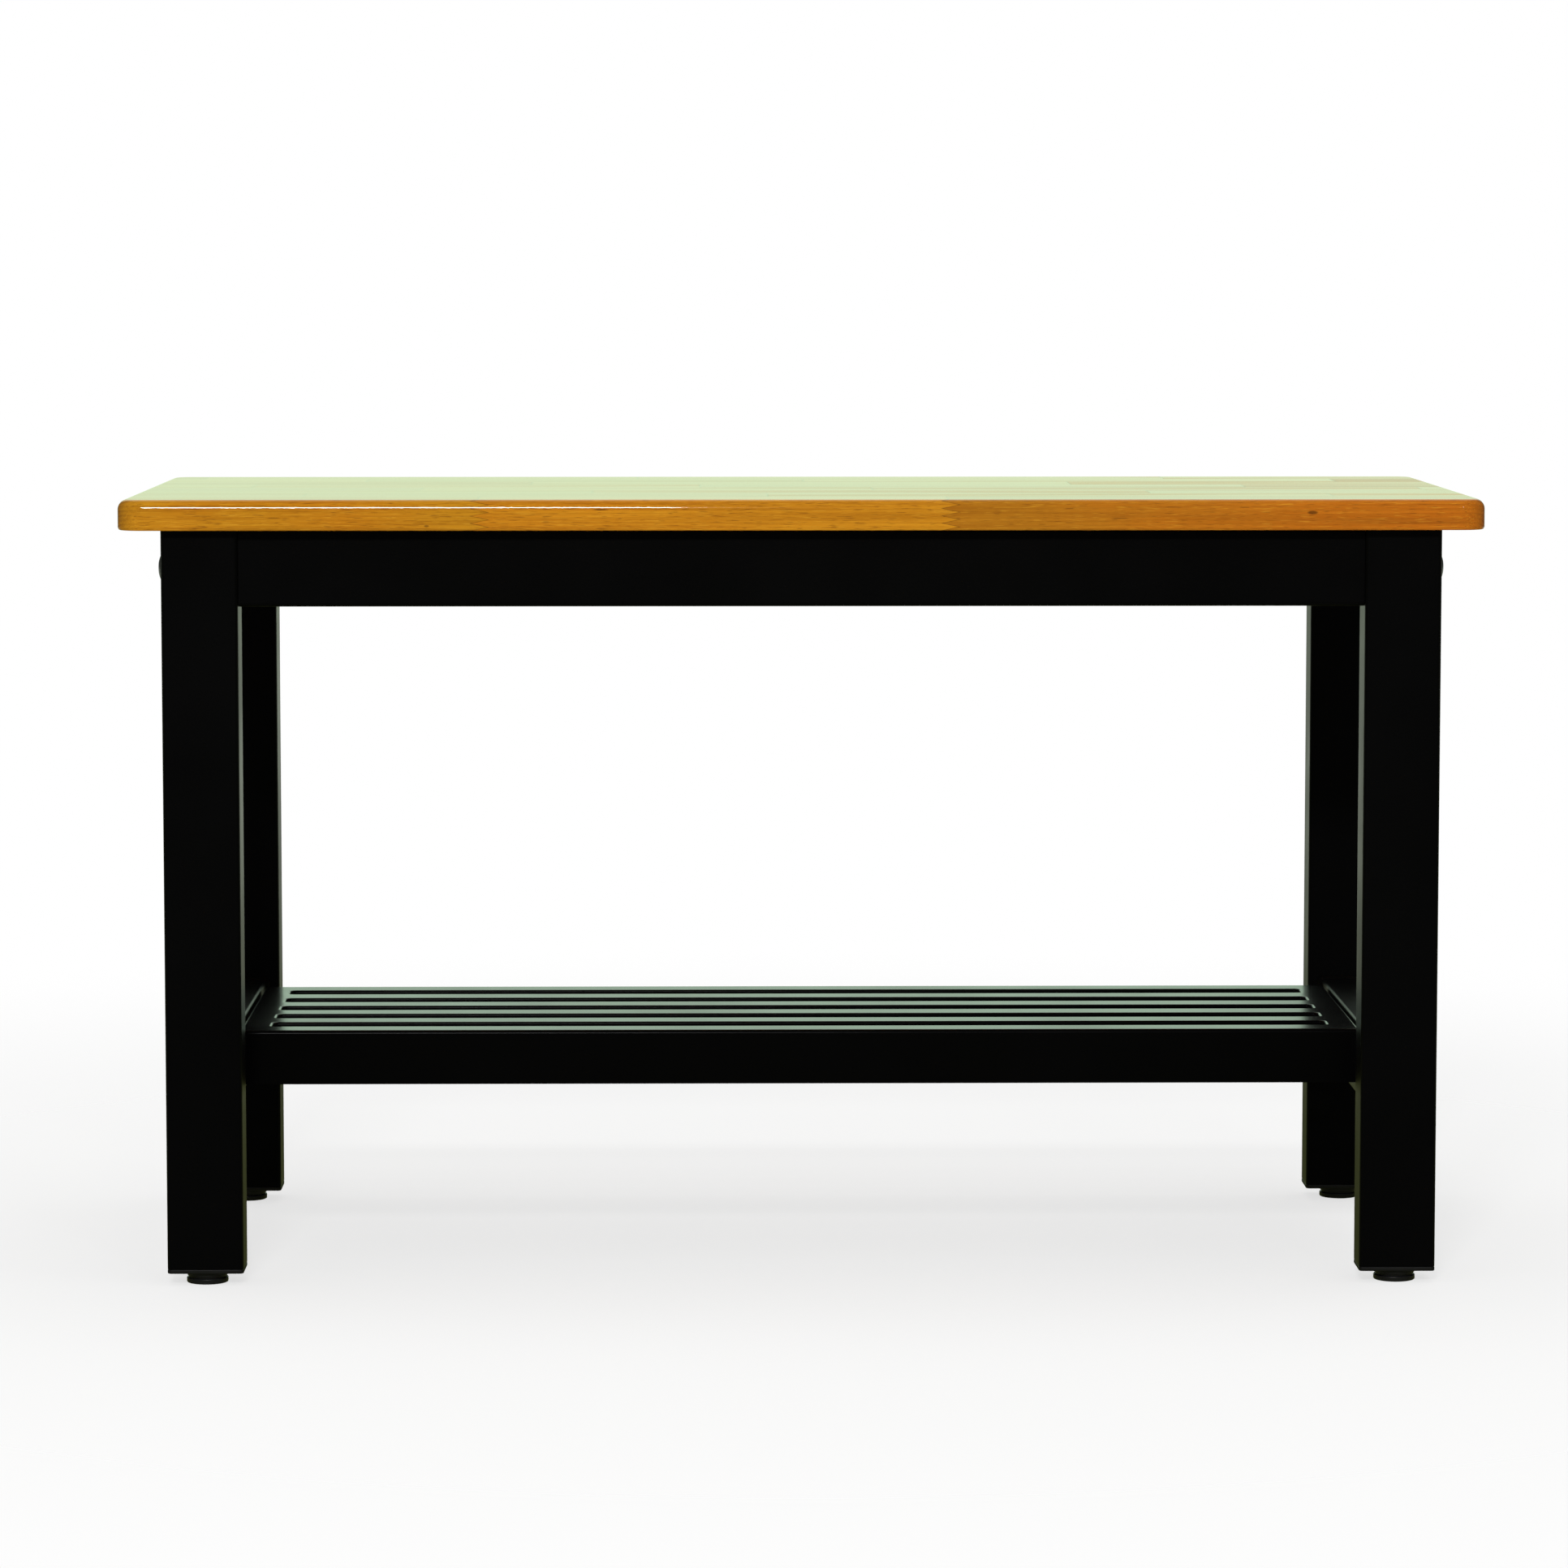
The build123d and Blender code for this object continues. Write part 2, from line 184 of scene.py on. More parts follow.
class NodeWeb:
    """Nodes of one shader tree, added and linked with few words."""

    def __init__(self, tree: NodeTree) -> None:
        """Empties the tree and keeps it."""
        self.tree = tree
        tree.nodes.clear()

    def feed(self, socket: NodeSocket, value: Feed) -> None:
        """Links or sets one input.

        Args:
            socket: The input.
            value: An output to link, or a plain value.
        """
        if isinstance(value, Number):
            value = value.socket
        if isinstance(value, NodeSocket):
            self.tree.links.new(value, socket)
        else:
            socket.default_value = value

    def add(self, kind: str, feeds: dict[str | int, Feed] | None = None, **settings: object) -> Node:
        """Adds a node.

        Args:
            kind: Node type without its ShaderNode prefix.
            feeds: Inputs by name or number, each with a value or an output.
            settings: Other properties of the node.

        Returns:
            The new node.
        """
        node = self.tree.nodes.new("ShaderNode" + kind)
        for name, value in settings.items():
            setattr(node, name, value)
        for name, value in (feeds or {}).items():
            self.feed(node.inputs[name], value)
        return node

    def source(self, kind: str, output: str) -> Number:
        """One number of a node without inputs, such as a kind of ray."""
        return Number(self, self.add(kind).outputs[output])

    def math(self, operation: str, first: Feed, second: Feed = 0.0) -> Number:
        """The result of a Math node with one number or two."""
        return Number(self, self.add("Math", {0: first, 1: second}, operation=operation).outputs[0])

    def vector(self, operation: str, first: Feed, second: Feed) -> NodeSocket:
        """The result of a Vector Math node with two vectors."""
        return self.add("VectorMath", {0: first, 1: second}, operation=operation).outputs[0]

    def place(self) -> NodeSocket:
        """Object coordinates, which are the shared frame's metres."""
        return self.add("TexCoord").outputs["Object"]

    def split(self, vector: NodeSocket) -> list[Number]:
        """Splits a vector into X, Y and Z."""
        return [Number(self, output) for output in self.add("SeparateXYZ", {0: vector}).outputs]

    def combine(self, x: Feed, y: Feed, z: Feed) -> NodeSocket:
        """Makes a vector of X, Y and Z."""
        return self.add("CombineXYZ", {0: x, 1: y, 2: z}).outputs[0]

    def noise(self, vector: NodeSocket, scales: tuple[float, ...], detail: float = 2.0,
              roughness: float = 0.5, distortion: float = 0.0) -> Number:
        """Adds noise that may be stretched.

        Args:
            vector: Coordinates in metres.
            scales: Features per metre along X, Y and Z.
            detail: Octaves.
            roughness: Weight of the finer octaves.
            distortion: How much the pattern is pushed about.

        Returns:
            The noise, about 0.5 on average.
        """
        stretched = self.vector("MULTIPLY", vector, scales)
        feeds = {"Vector": stretched, "Scale": 1.0, "Detail": detail, "Roughness": roughness,
                 "Distortion": distortion}
        return Number(self, self.add("TexNoise", feeds).outputs[0])

    def span(self, value: Feed, low: float, high: float, to_low: float = 0.0,
             to_high: float = 1.0) -> Number:
        """Maps the range from low to high onto another with soft ends, and stays inside it."""
        feeds = {0: value, 1: low, 2: high, 3: to_low, 4: to_high}
        return Number(self, self.add("MapRange", feeds, interpolation_type="SMOOTHSTEP").outputs[0])

    def tint(self, share: Feed, first: Feed, second: Feed, blend: str = "MIX") -> NodeSocket:
        """Mixes a share of the second colour into the first."""
        feeds = {0: share, 6: first, 7: second}
        return self.add("Mix", feeds, data_type="RGBA", blend_type=blend).outputs[2]

    def ramp(self, factor: Number, stops: Stops) -> NodeSocket:
        """Adds a colour ramp.

        Args:
            factor: Place on the ramp.
            stops: Places and colours, from low to high.

        Returns:
            The colour.
        """
        node = self.add("ValToRGB", {0: factor})
        elements = node.color_ramp.elements
        while len(elements) < len(stops):
            elements.new(1.0)
        for element, (where, colour) in zip(elements, stops):
            element.position = where
            element.color = colour
        return node.outputs[0]

    def bump(self, height: Number, strength: float, distance: float) -> NodeSocket:
        """Turns a height from 0 to 1, which stands for a distance in metres, into a normal."""
        feeds = {"Height": height, "Strength": strength, "Distance": distance}
        return self.add("Bump", feeds).outputs[0]

    def surface(self, feeds: dict[str | int, Feed]) -> None:
        """Ends the web in a Principled surface."""
        self.add("OutputMaterial", {0: self.add("BsdfPrincipled", feeds).outputs[0]})


def new_material(name: str) -> tuple[Material, NodeWeb]:
    """Starts a node material.

    Args:
        name: Its name.

    Returns:
        The material and the web of its nodes.
    """
    material = bpy.data.materials.new(name)
    material.use_nodes = True
    return material, NodeWeb(material.node_tree)


def shade(level: float, cool: float = 1.0) -> Colour:
    """A near-grey colour, with a little more blue where cool is above 1."""
    return (level, level, level * cool, 1.0)


class Finish(Protocol):
    """What each finish offers."""

    def material(self) -> Material:
        """Builds the finish's material."""


@dataclass(frozen=True)
class TimberMark:
    """A knot, dash or dent on the seat's front edge: an oval there, in metres."""

    x: float
    z: float
    half_length: float
    half_height: float
    depth: float


@dataclass(frozen=True)
class StavePoint:
    """A point of the seat, and where it lies in its block of timber.

    The key is a number from 0 to 1 for each block. Within is the place across the stave from its middle,
    seam the mask of the glue lines, and grain the coordinates shifted for each block.
    """

    web: NodeWeb
    x: Number
    y: Number
    z: Number
    key: Number
    within: Number
    seam: Number
    grain: NodeSocket


@dataclass(frozen=True)
class GrainFigure:
    """Spots or streaks in the timber: a stretched noise, which shows where it is high."""

    colour: Colour
    scales: Triple
    shown: Pair
    share: float = 1.0
    detail: float = 2.0
    roughness: float = 0.5
    distortion: float = 0.0
    shift: Triple = (0.0, 0.0, 0.0)

    def mask(self, point: StavePoint) -> Number:
        """Finds where the figure shows.

        Args:
            point: The point of the seat.

        Returns:
            A number from 0 to the figure's share.
        """
        web = point.web
        moved = web.vector("ADD", point.grain, self.shift)
        pattern = web.noise(moved, self.scales, self.detail, self.roughness, self.distortion)
        return web.span(pattern, *self.shown, 0.0, self.share)

    def over(self, point: StavePoint, colour: NodeSocket) -> NodeSocket:
        """Lays the figure's own colour over another."""
        return point.web.tint(self.mask(point), colour, self.colour)


@dataclass(frozen=True)
class VarnishedTimber:
    """Finger-jointed staves of light hardwood under clear gloss varnish."""

    stave_width: float = 0.04375
    stave_count: int = 8
    front_edge: float = -0.175
    edge_depth: float = 0.012
    joint_x: float = 0.0917
    left_block: float = 0.2747
    right_block: float = 0.335
    stagger: float = 0.382
    stave_key: float = 0.7548
    block_key: float = 0.5698
    first_key: float = 0.30
    finger_length: float = 0.0105
    finger_pitch: float = 0.0043
    finger_start: float = 0.4465
    joint_line: Pair = (0.0002, 0.0010)
    glue_line: Pair = (0.0001, 0.0004)
    middle_height: float = 0.4555
    grain_steps: Pair = (5.3, 2.9)
    pith_steps: Pair = (7.3, 3.7)
    pith_aside: float = 0.07
    pith_nearest: float = 0.012
    pith_spread: float = 0.045
    ring_width: float = 0.0026
    ring_wander: float = 0.010
    ring_scales: Triple = (1.4, 14.0, 14.0)
    ring_darkens: Pair = (0.35, 0.90)
    ring_ends: Pair = (0.92, 1.0)
    ring_share: Pair = (0.16, 0.40)
    end_grain_and_shade_share: float = 0.55
    glue_share: float = 0.7
    pore_share: float = 0.6
    pore_depth: float = 0.8
    seam_depth: float = 0.5
    fibre_scales: Triple = (14.0, 850.0, 850.0)
    band_scales: Triple = (2.0, 120.0, 120.0)
    relief_share: float = 0.20
    relief_height: float = 0.00015
    bare_roughness: Pair = (0.40, 0.52)
    varnish_roughness: float = 0.05
    varnish_index: float = 1.5
    flow_scales: Triple = (9.0, 22.0, 22.0)
    flow_share: float = 0.008
    flow_height: float = 0.0015
    worn_scales: Triple = (1.6, 26.0, 26.0)
    worn_shown: Pair = (0.46, 0.66)
    worn_along: Pair = (-0.25, 0.25)
    worn_share: Pair = (0.06, 0.28)
    late_wood: Colour = (0.20, 0.062, 0.005, 1.0)
    # End-grain tone, darker and browner. It is laid by how far a face turns to the board's end, so it also
    # paints shade on the seat's rounded corners.
    end_grain_and_corner_shade: Colour = (0.17, 0.052, 0.004, 1.0)
    glue: Colour = (0.10, 0.035, 0.004, 1.0)
    blush: Colour = (0.560, 0.122, 0.007, 1.0)
    blush_along: Pair = (0.12, 0.32)
    blush_share: float = 0.40
    mottle: GrainFigure = GrainFigure(
        colour=(0.490, 0.125, 0.004, 1.0),
        scales=(8.0, 26.0, 26.0),
        shown=(0.40, 0.72),
        share=0.40,
    )
    streaks: GrainFigure = GrainFigure(
        colour=(0.24, 0.075, 0.006, 1.0),
        scales=(2.2, 75.0, 75.0),
        shown=(0.60, 0.72),
        share=0.45,
        roughness=0.6,
        distortion=0.2,
        shift=(3.0, 1.0, 9.0),
    )
    flecks: GrainFigure = GrainFigure(
        colour=(0.74, 0.38, 0.03, 1.0),
        scales=(90.0, 2200.0, 2200.0),
        shown=(0.60, 0.70),
        share=0.35,
        detail=1.0,
        shift=(0.0, 7.0, 3.0),
    )
    pores: GrainFigure = GrainFigure(
        colour=(0.16, 0.050, 0.004, 1.0),
        scales=(120.0, 2400.0, 2400.0),
        shown=(0.60, 0.69),
        detail=1.0,
    )
    mark: Colour = (0.07, 0.022, 0.003, 1.0)
    mark_fade: Pair = (0.25, 1.2)
    marks: tuple[TimberMark, ...] = (
        TimberMark(0.2976, 0.4569, 0.0034, 0.0012, 0.75),
        TimberMark(-0.1176, 0.4588, 0.0050, 0.0005, 0.7),
        TimberMark(-0.2190, 0.4493, 0.0016, 0.0007, 0.6),
        TimberMark(0.1850, 0.4536, 0.0060, 0.0004, 0.5),
        TimberMark(-0.3080, 0.4540, 0.0042, 0.0004, 0.45),
    )
    block_tones: Stops = (
        (0.0, (0.500, 0.202, 0.009, 1.0)),
        (0.18, (0.512, 0.226, 0.010, 1.0)),
        (0.30, (0.400, 0.150, 0.008, 1.0)),
        (0.46, (0.418, 0.130, 0.008, 1.0)),
        (0.62, (0.528, 0.216, 0.010, 1.0)),
        (0.76, (0.555, 0.222, 0.010, 1.0)),
        (0.90, (0.455, 0.154, 0.008, 1.0)),
        (1.0, (0.500, 0.202, 0.009, 1.0)),
    )
    band_tones: Stops = (
        (0.30, (0.80, 0.75, 0.70, 1.0)),
        (0.50, (1.0, 1.0, 1.0, 1.0)),
        (0.72, (1.07, 1.11, 1.14, 1.0)),
    )
    fibre_tones: Stops = (
        (0.25, (0.84, 0.78, 0.72, 1.0)),
        (0.52, (1.0, 1.0, 1.0, 1.0)),
        (0.80, (1.12, 1.18, 1.25, 1.0)),
    )

    def material(self) -> Material:
        """Builds the finish's material.

        Returns:
            The material.
        """
        material, web = new_material("varnished_timber")
        place = web.place()
        point = self.locate(web, place)
        fibres = web.noise(point.grain, self.fibre_scales, detail=3.0, roughness=0.6)
        pores = self.pores.mask(point)
        turned_to_end = self.turned_to_end(web)
        ringed = self.rings(point) * web.span(turned_to_end, 0.0, 1.0, *self.ring_share)
        colour = web.tint(ringed, self.bare(point, fibres, pores), self.late_wood)
        # End grain and painted shade: faces darken as they turn towards the board's ends, so the end faces
        # get their end-grain tone and the rounded corners get painted shade.
        colour = web.tint(turned_to_end * self.end_grain_and_shade_share, colour, self.end_grain_and_corner_shade)
        colour = web.tint(point.seam * self.glue_share, colour, self.glue)
        relief = fibres - pores * self.pore_depth - point.seam * self.seam_depth
        flow = web.noise(place, self.flow_scales, detail=1.0)
        web.surface({
            "Base Color": self.marked(point, colour),
            "Roughness": web.span(fibres, 0.3, 0.7, *self.bare_roughness),
            "Specular IOR Level": 0.0,
            "Normal": web.bump(relief, self.relief_share, self.relief_height),
            "Coat Weight": 1.0 - self.worn(point),
            "Coat Roughness": self.varnish_roughness,
            "Coat IOR": self.varnish_index,
            "Coat Normal": web.bump(flow, self.flow_share, self.flow_height),
        })
        return material

    def worn(self, point: StavePoint) -> Number:
        """Wears the varnish thin, in streaks and more so towards the seat's right end.

        Args:
            point: The point of the seat.

        Returns:
            How much of the varnish is missing, from 0 to 1.
        """
        web = point.web
        streaks = web.noise(point.grain, self.worn_scales, roughness=0.6)
        return web.span(streaks, *self.worn_shown) * web.span(point.x, *self.worn_along, *self.worn_share)

    def turned_to_end(self, web: NodeWeb) -> Number:
        """How far a face turns from the long grain to the end grain, from 0 to 1."""
        turned, _, _ = web.split(web.add("NewGeometry").outputs["Normal"])
        return turned * turned

    def locate(self, web: NodeWeb, place: NodeSocket) -> StavePoint:
        """Lays out the staves and the blocks along them.

        Args:
            web: The material's nodes.
            place: Coordinates in metres.

        Returns:
            The point with its place in the staves.
        """
        x, y, z = web.split(place)
        row = (y - self.front_edge) / self.stave_width
        across = web.math("MINIMUM", web.math("MAXIMUM", row, 0.5), self.stave_count - 0.5)
        stave = web.math("FLOOR", across)
        level = (z - self.finger_start) / self.finger_pitch
        finger = abs(level.fraction() - 0.5) * (2.0 * self.finger_length)
        along = x + finger - self.joint_x + (stave * self.stagger).fraction() * self.left_block
        left = web.math("MINIMUM", along / self.left_block, 0.0)
        run = left + web.math("MAXIMUM", along / self.right_block, 0.0)
        block = web.math("FLOOR", run)
        key = (stave * self.stave_key + block * self.block_key + self.first_key).fraction()
        to_joint = abs(run - web.math("ROUND", run)) * self.left_block
        to_glue = abs(across - web.math("ROUND", across)) * self.stave_width
        joint = web.span(to_joint, *self.joint_line, 1.0, 0.0)
        seam = web.math("MAXIMUM", joint, web.span(to_glue, *self.glue_line, 0.8, 0.0))
        step_x, step_y = self.grain_steps
        grain = web.vector("ADD", place, web.combine(key * step_x, key * step_y, key))
        return StavePoint(web, x, y, z, key, (row - stave - 0.5) * self.stave_width, seam, grain)

    def rings(self, point: StavePoint) -> Number:
        """Draws growth rings round a pith of each block's own.

        Args:
            point: The point of the seat.

        Returns:
            The mask of the dark late wood.
        """
        web = point.web
        aside_step, below_step = self.pith_steps
        aside = (point.key * aside_step).fraction() - 0.5
        below = (point.key * below_step).fraction() * self.pith_spread + self.pith_nearest
        across = point.within - aside * self.pith_aside
        up = point.z - self.middle_height + below
        wander = web.noise(point.grain, self.ring_scales) * self.ring_wander
        reach = web.math("SQRT", across * across + up * up) + wander
        ring = (reach / self.ring_width).fraction()
        return web.span(ring, *self.ring_darkens) * web.span(ring, *self.ring_ends, 1.0, 0.0)

    def bare(self, point: StavePoint, fibres: Number, pores: Number) -> NodeSocket:
        """Colours the bare timber, which is redder towards the seat's right end.

        Args:
            point: The point of the seat.
            fibres: Fine streaks.
            pores: Mask of the short dark pores.

        Returns:
            The colour without rings, seams and marks.
        """
        web = point.web
        colour = self.mottle.over(point, web.ramp(point.key, self.block_tones))
        redder = web.span(point.x, *self.blush_along, 0.0, self.blush_share)
        colour = web.tint(redder, colour, self.blush)
        bands = web.noise(point.grain, self.band_scales, detail=4.0, roughness=0.6, distortion=0.3)
        for pattern, tones in ((bands, self.band_tones), (fibres, self.fibre_tones)):
            colour = web.tint(1.0, colour, web.ramp(pattern, tones), "MULTIPLY")
        colour = self.flecks.over(point, self.streaks.over(point, colour))
        return web.tint(pores * self.pore_share, colour, self.pores.colour)

    def marked(self, point: StavePoint, colour: NodeSocket) -> NodeSocket:
        """Darkens the knots, dashes and dents of the front edge.

        Args:
            point: The point of the seat.
            colour: Colour without the marks.

        Returns:
            The colour with the marks.
        """
        web = point.web
        front = web.math("LESS_THAN", point.y, self.front_edge + self.edge_depth)
        for mark in self.marks:
            along = (point.x - mark.x) / mark.half_length
            up = (point.z - mark.z) / mark.half_height
            mask = web.span(along * along + up * up, *self.mark_fade, mark.depth, 0.0) * front
            colour = web.tint(mask, colour, self.mark)
        return colour


@dataclass(frozen=True)
class PowderCoat:
    """Baked black powder coat with a fine orange-peel skin."""

    name: str
    level: float
    roughness: float
    facing: float
    peel: float
    peel_scale: float = 650.0
    peel_height: float = 0.00012
    speck_scale: float = 3200.0
    speck_share: float = 0.15
    speck_tone: float = 2.6
    cloud_scale: float = 11.0
    cloud_tones: Pair = (0.75, 1.25)

    def material(self) -> Material:
        """Builds the finish's material.

        Returns:
            The material.
        """
        material, web = new_material(self.name)
        place = web.place()
        skin = web.noise(place, (self.peel_scale,) * 3, roughness=0.45)
        speck = web.noise(place, (self.speck_scale,) * 3, detail=1.0)
        cloud = web.noise(place, (self.cloud_scale,) * 3, detail=3.0, roughness=0.55)
        dark, light = self.cloud_tones
        colour = web.tint(cloud, shade(self.level * dark), shade(self.level * light, 1.05))
        specked = web.span(speck, 0.66, 0.78, 0.0, 0.5)
        web.surface({
            "Base Color": web.tint(specked, colour, shade(self.level * self.speck_tone)),
            "Roughness": web.span(cloud, 0.25, 0.75, self.roughness - 0.04, self.roughness + 0.05),
            "Specular IOR Level": 0.5,
            "Specular Tint": shade(self.facing),
            "Normal": web.bump(skin + speck * self.speck_share, self.peel, self.peel_height),
        })
        return material


@dataclass(frozen=True)
class MouldedPlastic:
    """Black moulded plastic with a faint mould grain."""

    name: str
    level: float
    roughness: float
    specular: float = 0.22
    flow_scales: Triple = (60.0, 60.0, 140.0)
    flow_tones: Pair = (0.8, 1.25)
    grain_scale: float = 1800.0
    grain_share: float = 0.12
    grain_height: float = 0.00006

    def material(self) -> Material:
        """Builds the finish's material.

        Returns:
            The material.
        """
        material, web = new_material(self.name)
        place = web.place()
        grain = web.noise(place, (self.grain_scale,) * 3)
        flow = web.noise(place, self.flow_scales)
        dark, light = self.flow_tones
        web.surface({
            "Base Color": web.tint(flow, shade(self.level * dark), shade(self.level * light)),
            "Roughness": web.span(flow, 0.3, 0.7, self.roughness - 0.04, self.roughness + 0.06),
            "Specular IOR Level": self.specular,
            "Normal": web.bump(grain, self.grain_share, self.grain_height),
        })
        return material


@dataclass(frozen=True)
class SteelFinish:
    """Plated or blackened steel with a fine grain."""

    name: str
    light: Colour
    dark: Colour
    metallic: float
    roughness: float
    cloud_scale: float = 240.0
    grain_scale: float = 2600.0
    grain_share: float = 0.10
    grain_height: float = 0.00005

    def material(self) -> Material:
        """Builds the finish's material.

        Returns:
            The material.
        """
        material, web = new_material(self.name)
        place = web.place()
        cloud = web.noise(place, (self.cloud_scale,) * 3, detail=3.0, roughness=0.6)
        fine = web.noise(place, (self.grain_scale,) * 3)
        web.surface({
            "Base Color": web.tint(cloud, self.dark, self.light),
            "Metallic": self.metallic,
            "Roughness": web.span(cloud, 0.3, 0.7, self.roughness - 0.06, self.roughness + 0.08),
            "Normal": web.bump(fine, self.grain_share, self.grain_height),
        })
        return material


def mesh_of(shape: BMesh, name: str) -> Mesh:
    """Turns a shape into a mesh.

    Args:
        shape: The shape, which is freed.
        name: Name of the mesh.

    Returns:
        The mesh.
    """
    data = bpy.data.meshes.new(name)
    shape.to_mesh(data)
    shape.free()
    return data


def link(name: str, data: ID) -> Object:
    """Puts a new object into the scene.

    Args:
        name: Name of the object.
        data: Its mesh, lamp or camera.

    Returns:
        The object.
    """
    thing = bpy.data.objects.new(name, data)
    bpy.context.scene.collection.objects.link(thing)
    return thing


@dataclass
class Workshop:
    """Adds finished shapes to the scene, each in the finish of its record slot."""

    finishes: dict[Slot, Finish]
    materials: dict[Slot, Material] = field(default_factory=dict)

    def __post_init__(self) -> None:
        """Builds every finish's material once."""
        for slot, finish in self.finishes.items():
            self.materials[slot] = finish.material()

    def add(self, shape: BMesh, name: str, slot: Slot, body: str = "frame", nodes: tuple[str, ...] = (),
            wall: float = 0.0, sharp: float = 38.0) -> None:
        """Makes a shape a piece of the bench.

        Args:
            shape: The finished shape, in place; it is freed.
            name: Name of the piece.
            slot: Record slot of its finish.
            body: Body that it rides on.
            nodes: CAD nodes that it stands for.
            wall: Thickness to give an open sheet, inwards.
            sharp: Angle in degrees above which an edge stays crisp.
        """
        for face in shape.faces:
            face.smooth = True
        data = mesh_of(shape, name)
        data.set_sharp_from_angle(angle=math.radians(sharp))
        data.materials.append(self.materials[slot])
        piece = link(name, data)
        if wall:
            sheet = piece.modifiers.new("sheet_thickness", "SOLIDIFY")
            sheet.thickness = wall
            sheet.offset = -1.0
            sheet.use_even_offset = True
        piece.modifiers.new("even_shading", "WEIGHTED_NORMAL").keep_sharp = True
        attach(piece, body)
        if nodes:
            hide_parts(*nodes)
        LOG.info("%s on %s: %d faces", name, body, len(data.polygons))

    def dress(self, node: str, slot: Slot) -> None:
        """Gives a CAD node that stays the finish of its slot.

        Args:
            node: Name of the node.
            slot: Its record slot.
        """
        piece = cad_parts[node]
        if not piece.material_slots:
            piece.data.materials.append(self.materials[slot])
        for held in piece.material_slots:
            held.material = self.materials[slot]
        LOG.info("%s keeps its solid, in %s", node, slot.value)


class Assembly(Protocol):
    """What each sub-assembly offers."""

    def build(self, shop: Workshop) -> None:
        """Adds the pieces to the scene."""


def round_edges(shape: BMesh, edges: list[BMEdge], radius: float, segments: int) -> None:
    """Rounds edges with so many faces across the rounding."""
    bmesh.ops.bevel(shape, geom=edges, offset=radius, offset_type="OFFSET", segments=segments,
                    profile=0.5, affect="EDGES", material=-1, clamp_overlap=False)


def put(shape: BMesh, position: Vector, heading: Heading = Heading.UP) -> BMesh:
    """Turns a shape and puts it in its place.

    Args:
        shape: A shape made along +Z at the origin.
        position: Where its origin goes.
        heading: Where its +Z goes.

    Returns:
        The same shape.
    """
    matrix = Matrix.Translation(position) @ heading.turn
    bmesh.ops.transform(shape, matrix=matrix, space=Matrix.Identity(4), verts=shape.verts)
    return shape


def join(shapes: list[BMesh]) -> BMesh:
    """Puts several shapes into one.

    Args:
        shapes: The shapes, which are freed.

    Returns:
        One shape that holds them all.
    """
    together = bmesh.new()
    for shape in shapes:
        carrier = mesh_of(shape, "carrier")
        together.from_mesh(carrier)
        bpy.data.meshes.remove(carrier)
    return together


def open_edges(shape: BMesh) -> list[BMEdge]:
    """Edges with a face on one side only."""
    return [edge for edge in shape.edges if edge.is_boundary]


def pull(shape: BMesh, drawn: list[BMVert | BMEdge | BMFace], height: float) -> None:
    """Moves newly drawn geometry along Z."""
    points = [item for item in drawn if isinstance(item, BMVert)]
    bmesh.ops.translate(shape, vec=(0.0, 0.0, height), verts=points)


def fold(shape: BMesh, edges: list[BMEdge], height: float) -> None:
    """Draws a strip of faces from open edges, up or down along Z."""
    pull(shape, bmesh.ops.extrude_edge_only(shape, edges=edges)["geom"], height)


def cut_off(shape: BMesh, height: float, facing: float) -> None:
    """Cuts off what lies beyond a level plane.

    Args:
        shape: The shape.
        height: Height of the plane.
        facing: 1 to cut off what is above the plane, -1 for what is below it.
    """
    everything = shape.verts[:] + shape.edges[:] + shape.faces[:]
    bmesh.ops.bisect_plane(shape, geom=everything, dist=HAIR, plane_co=(0.0, 0.0, height),
                           plane_no=(0.0, 0.0, facing), clear_outer=True)


def close(shape: BMesh) -> None:
    """Fills what is open and turns every face outwards."""
    bmesh.ops.holes_fill(shape, edges=open_edges(shape))
    bmesh.ops.recalc_face_normals(shape, faces=shape.faces)


def arc(centre: Pair, radius: float, start: float, end: float, steps: int) -> Profile:
    """Points of a turned profile along an arc, between angles in degrees from straight outwards."""
    angles = [math.radians(start + (end - start) * step / steps) for step in range(steps + 1)]
    return [(centre[0] + radius * math.cos(turn), centre[1] + radius * math.sin(turn)) for turn in angles]


def strand(profile: Profile) -> BMesh:
    """Draws a profile as a line.

    Args:
        profile: Points as distance from the Z axis and height.

    Returns:
        The line, over the X axis.
    """
    shape = bmesh.new()
    points = [shape.verts.new((radius, 0.0, height)) for radius, height in profile]
    for pair in zip(points, points[1:]):
        shape.edges.new(pair)
    return shape


def lathe(profile: Profile, steps: int = 64) -> BMesh:
    """Turns a profile round the Z axis.

    Args:
        profile: Points as distance from the axis and height.
        steps: Faces round the piece.

    Returns:
        The turned shape.
    """
    shape = strand(profile)
    bmesh.ops.spin(shape, geom=shape.verts[:] + shape.edges[:], cent=(0.0, 0.0, 0.0), axis=(0.0, 0.0, 1.0),
                   angle=math.tau, steps=steps, use_merge=True)
    bmesh.ops.remove_doubles(shape, verts=shape.verts, dist=HAIR)
    bmesh.ops.recalc_face_normals(shape, faces=shape.faces)
    return shape


def outline(width: float, depth: float, radius: float, segments: int) -> BMesh:
    """Flat face with rounded corners, on z = 0.

    Args:
        width: Length along X.
        depth: Length along Y.
        radius: Radius of its corners.
        segments: Pieces that each corner is divided into.

    Returns:
        The face.
    """
    shape = bmesh.new()
    bmesh.ops.create_grid(shape, x_segments=1, y_segments=1, size=0.5)
    bmesh.ops.scale(shape, vec=(width, depth, 1.0), verts=shape.verts)
    bmesh.ops.bevel(shape, geom=shape.verts[:], offset=radius, offset_type="OFFSET", segments=segments,
                    profile=0.5, affect="VERTICES", material=-1, clamp_overlap=False)
    return shape


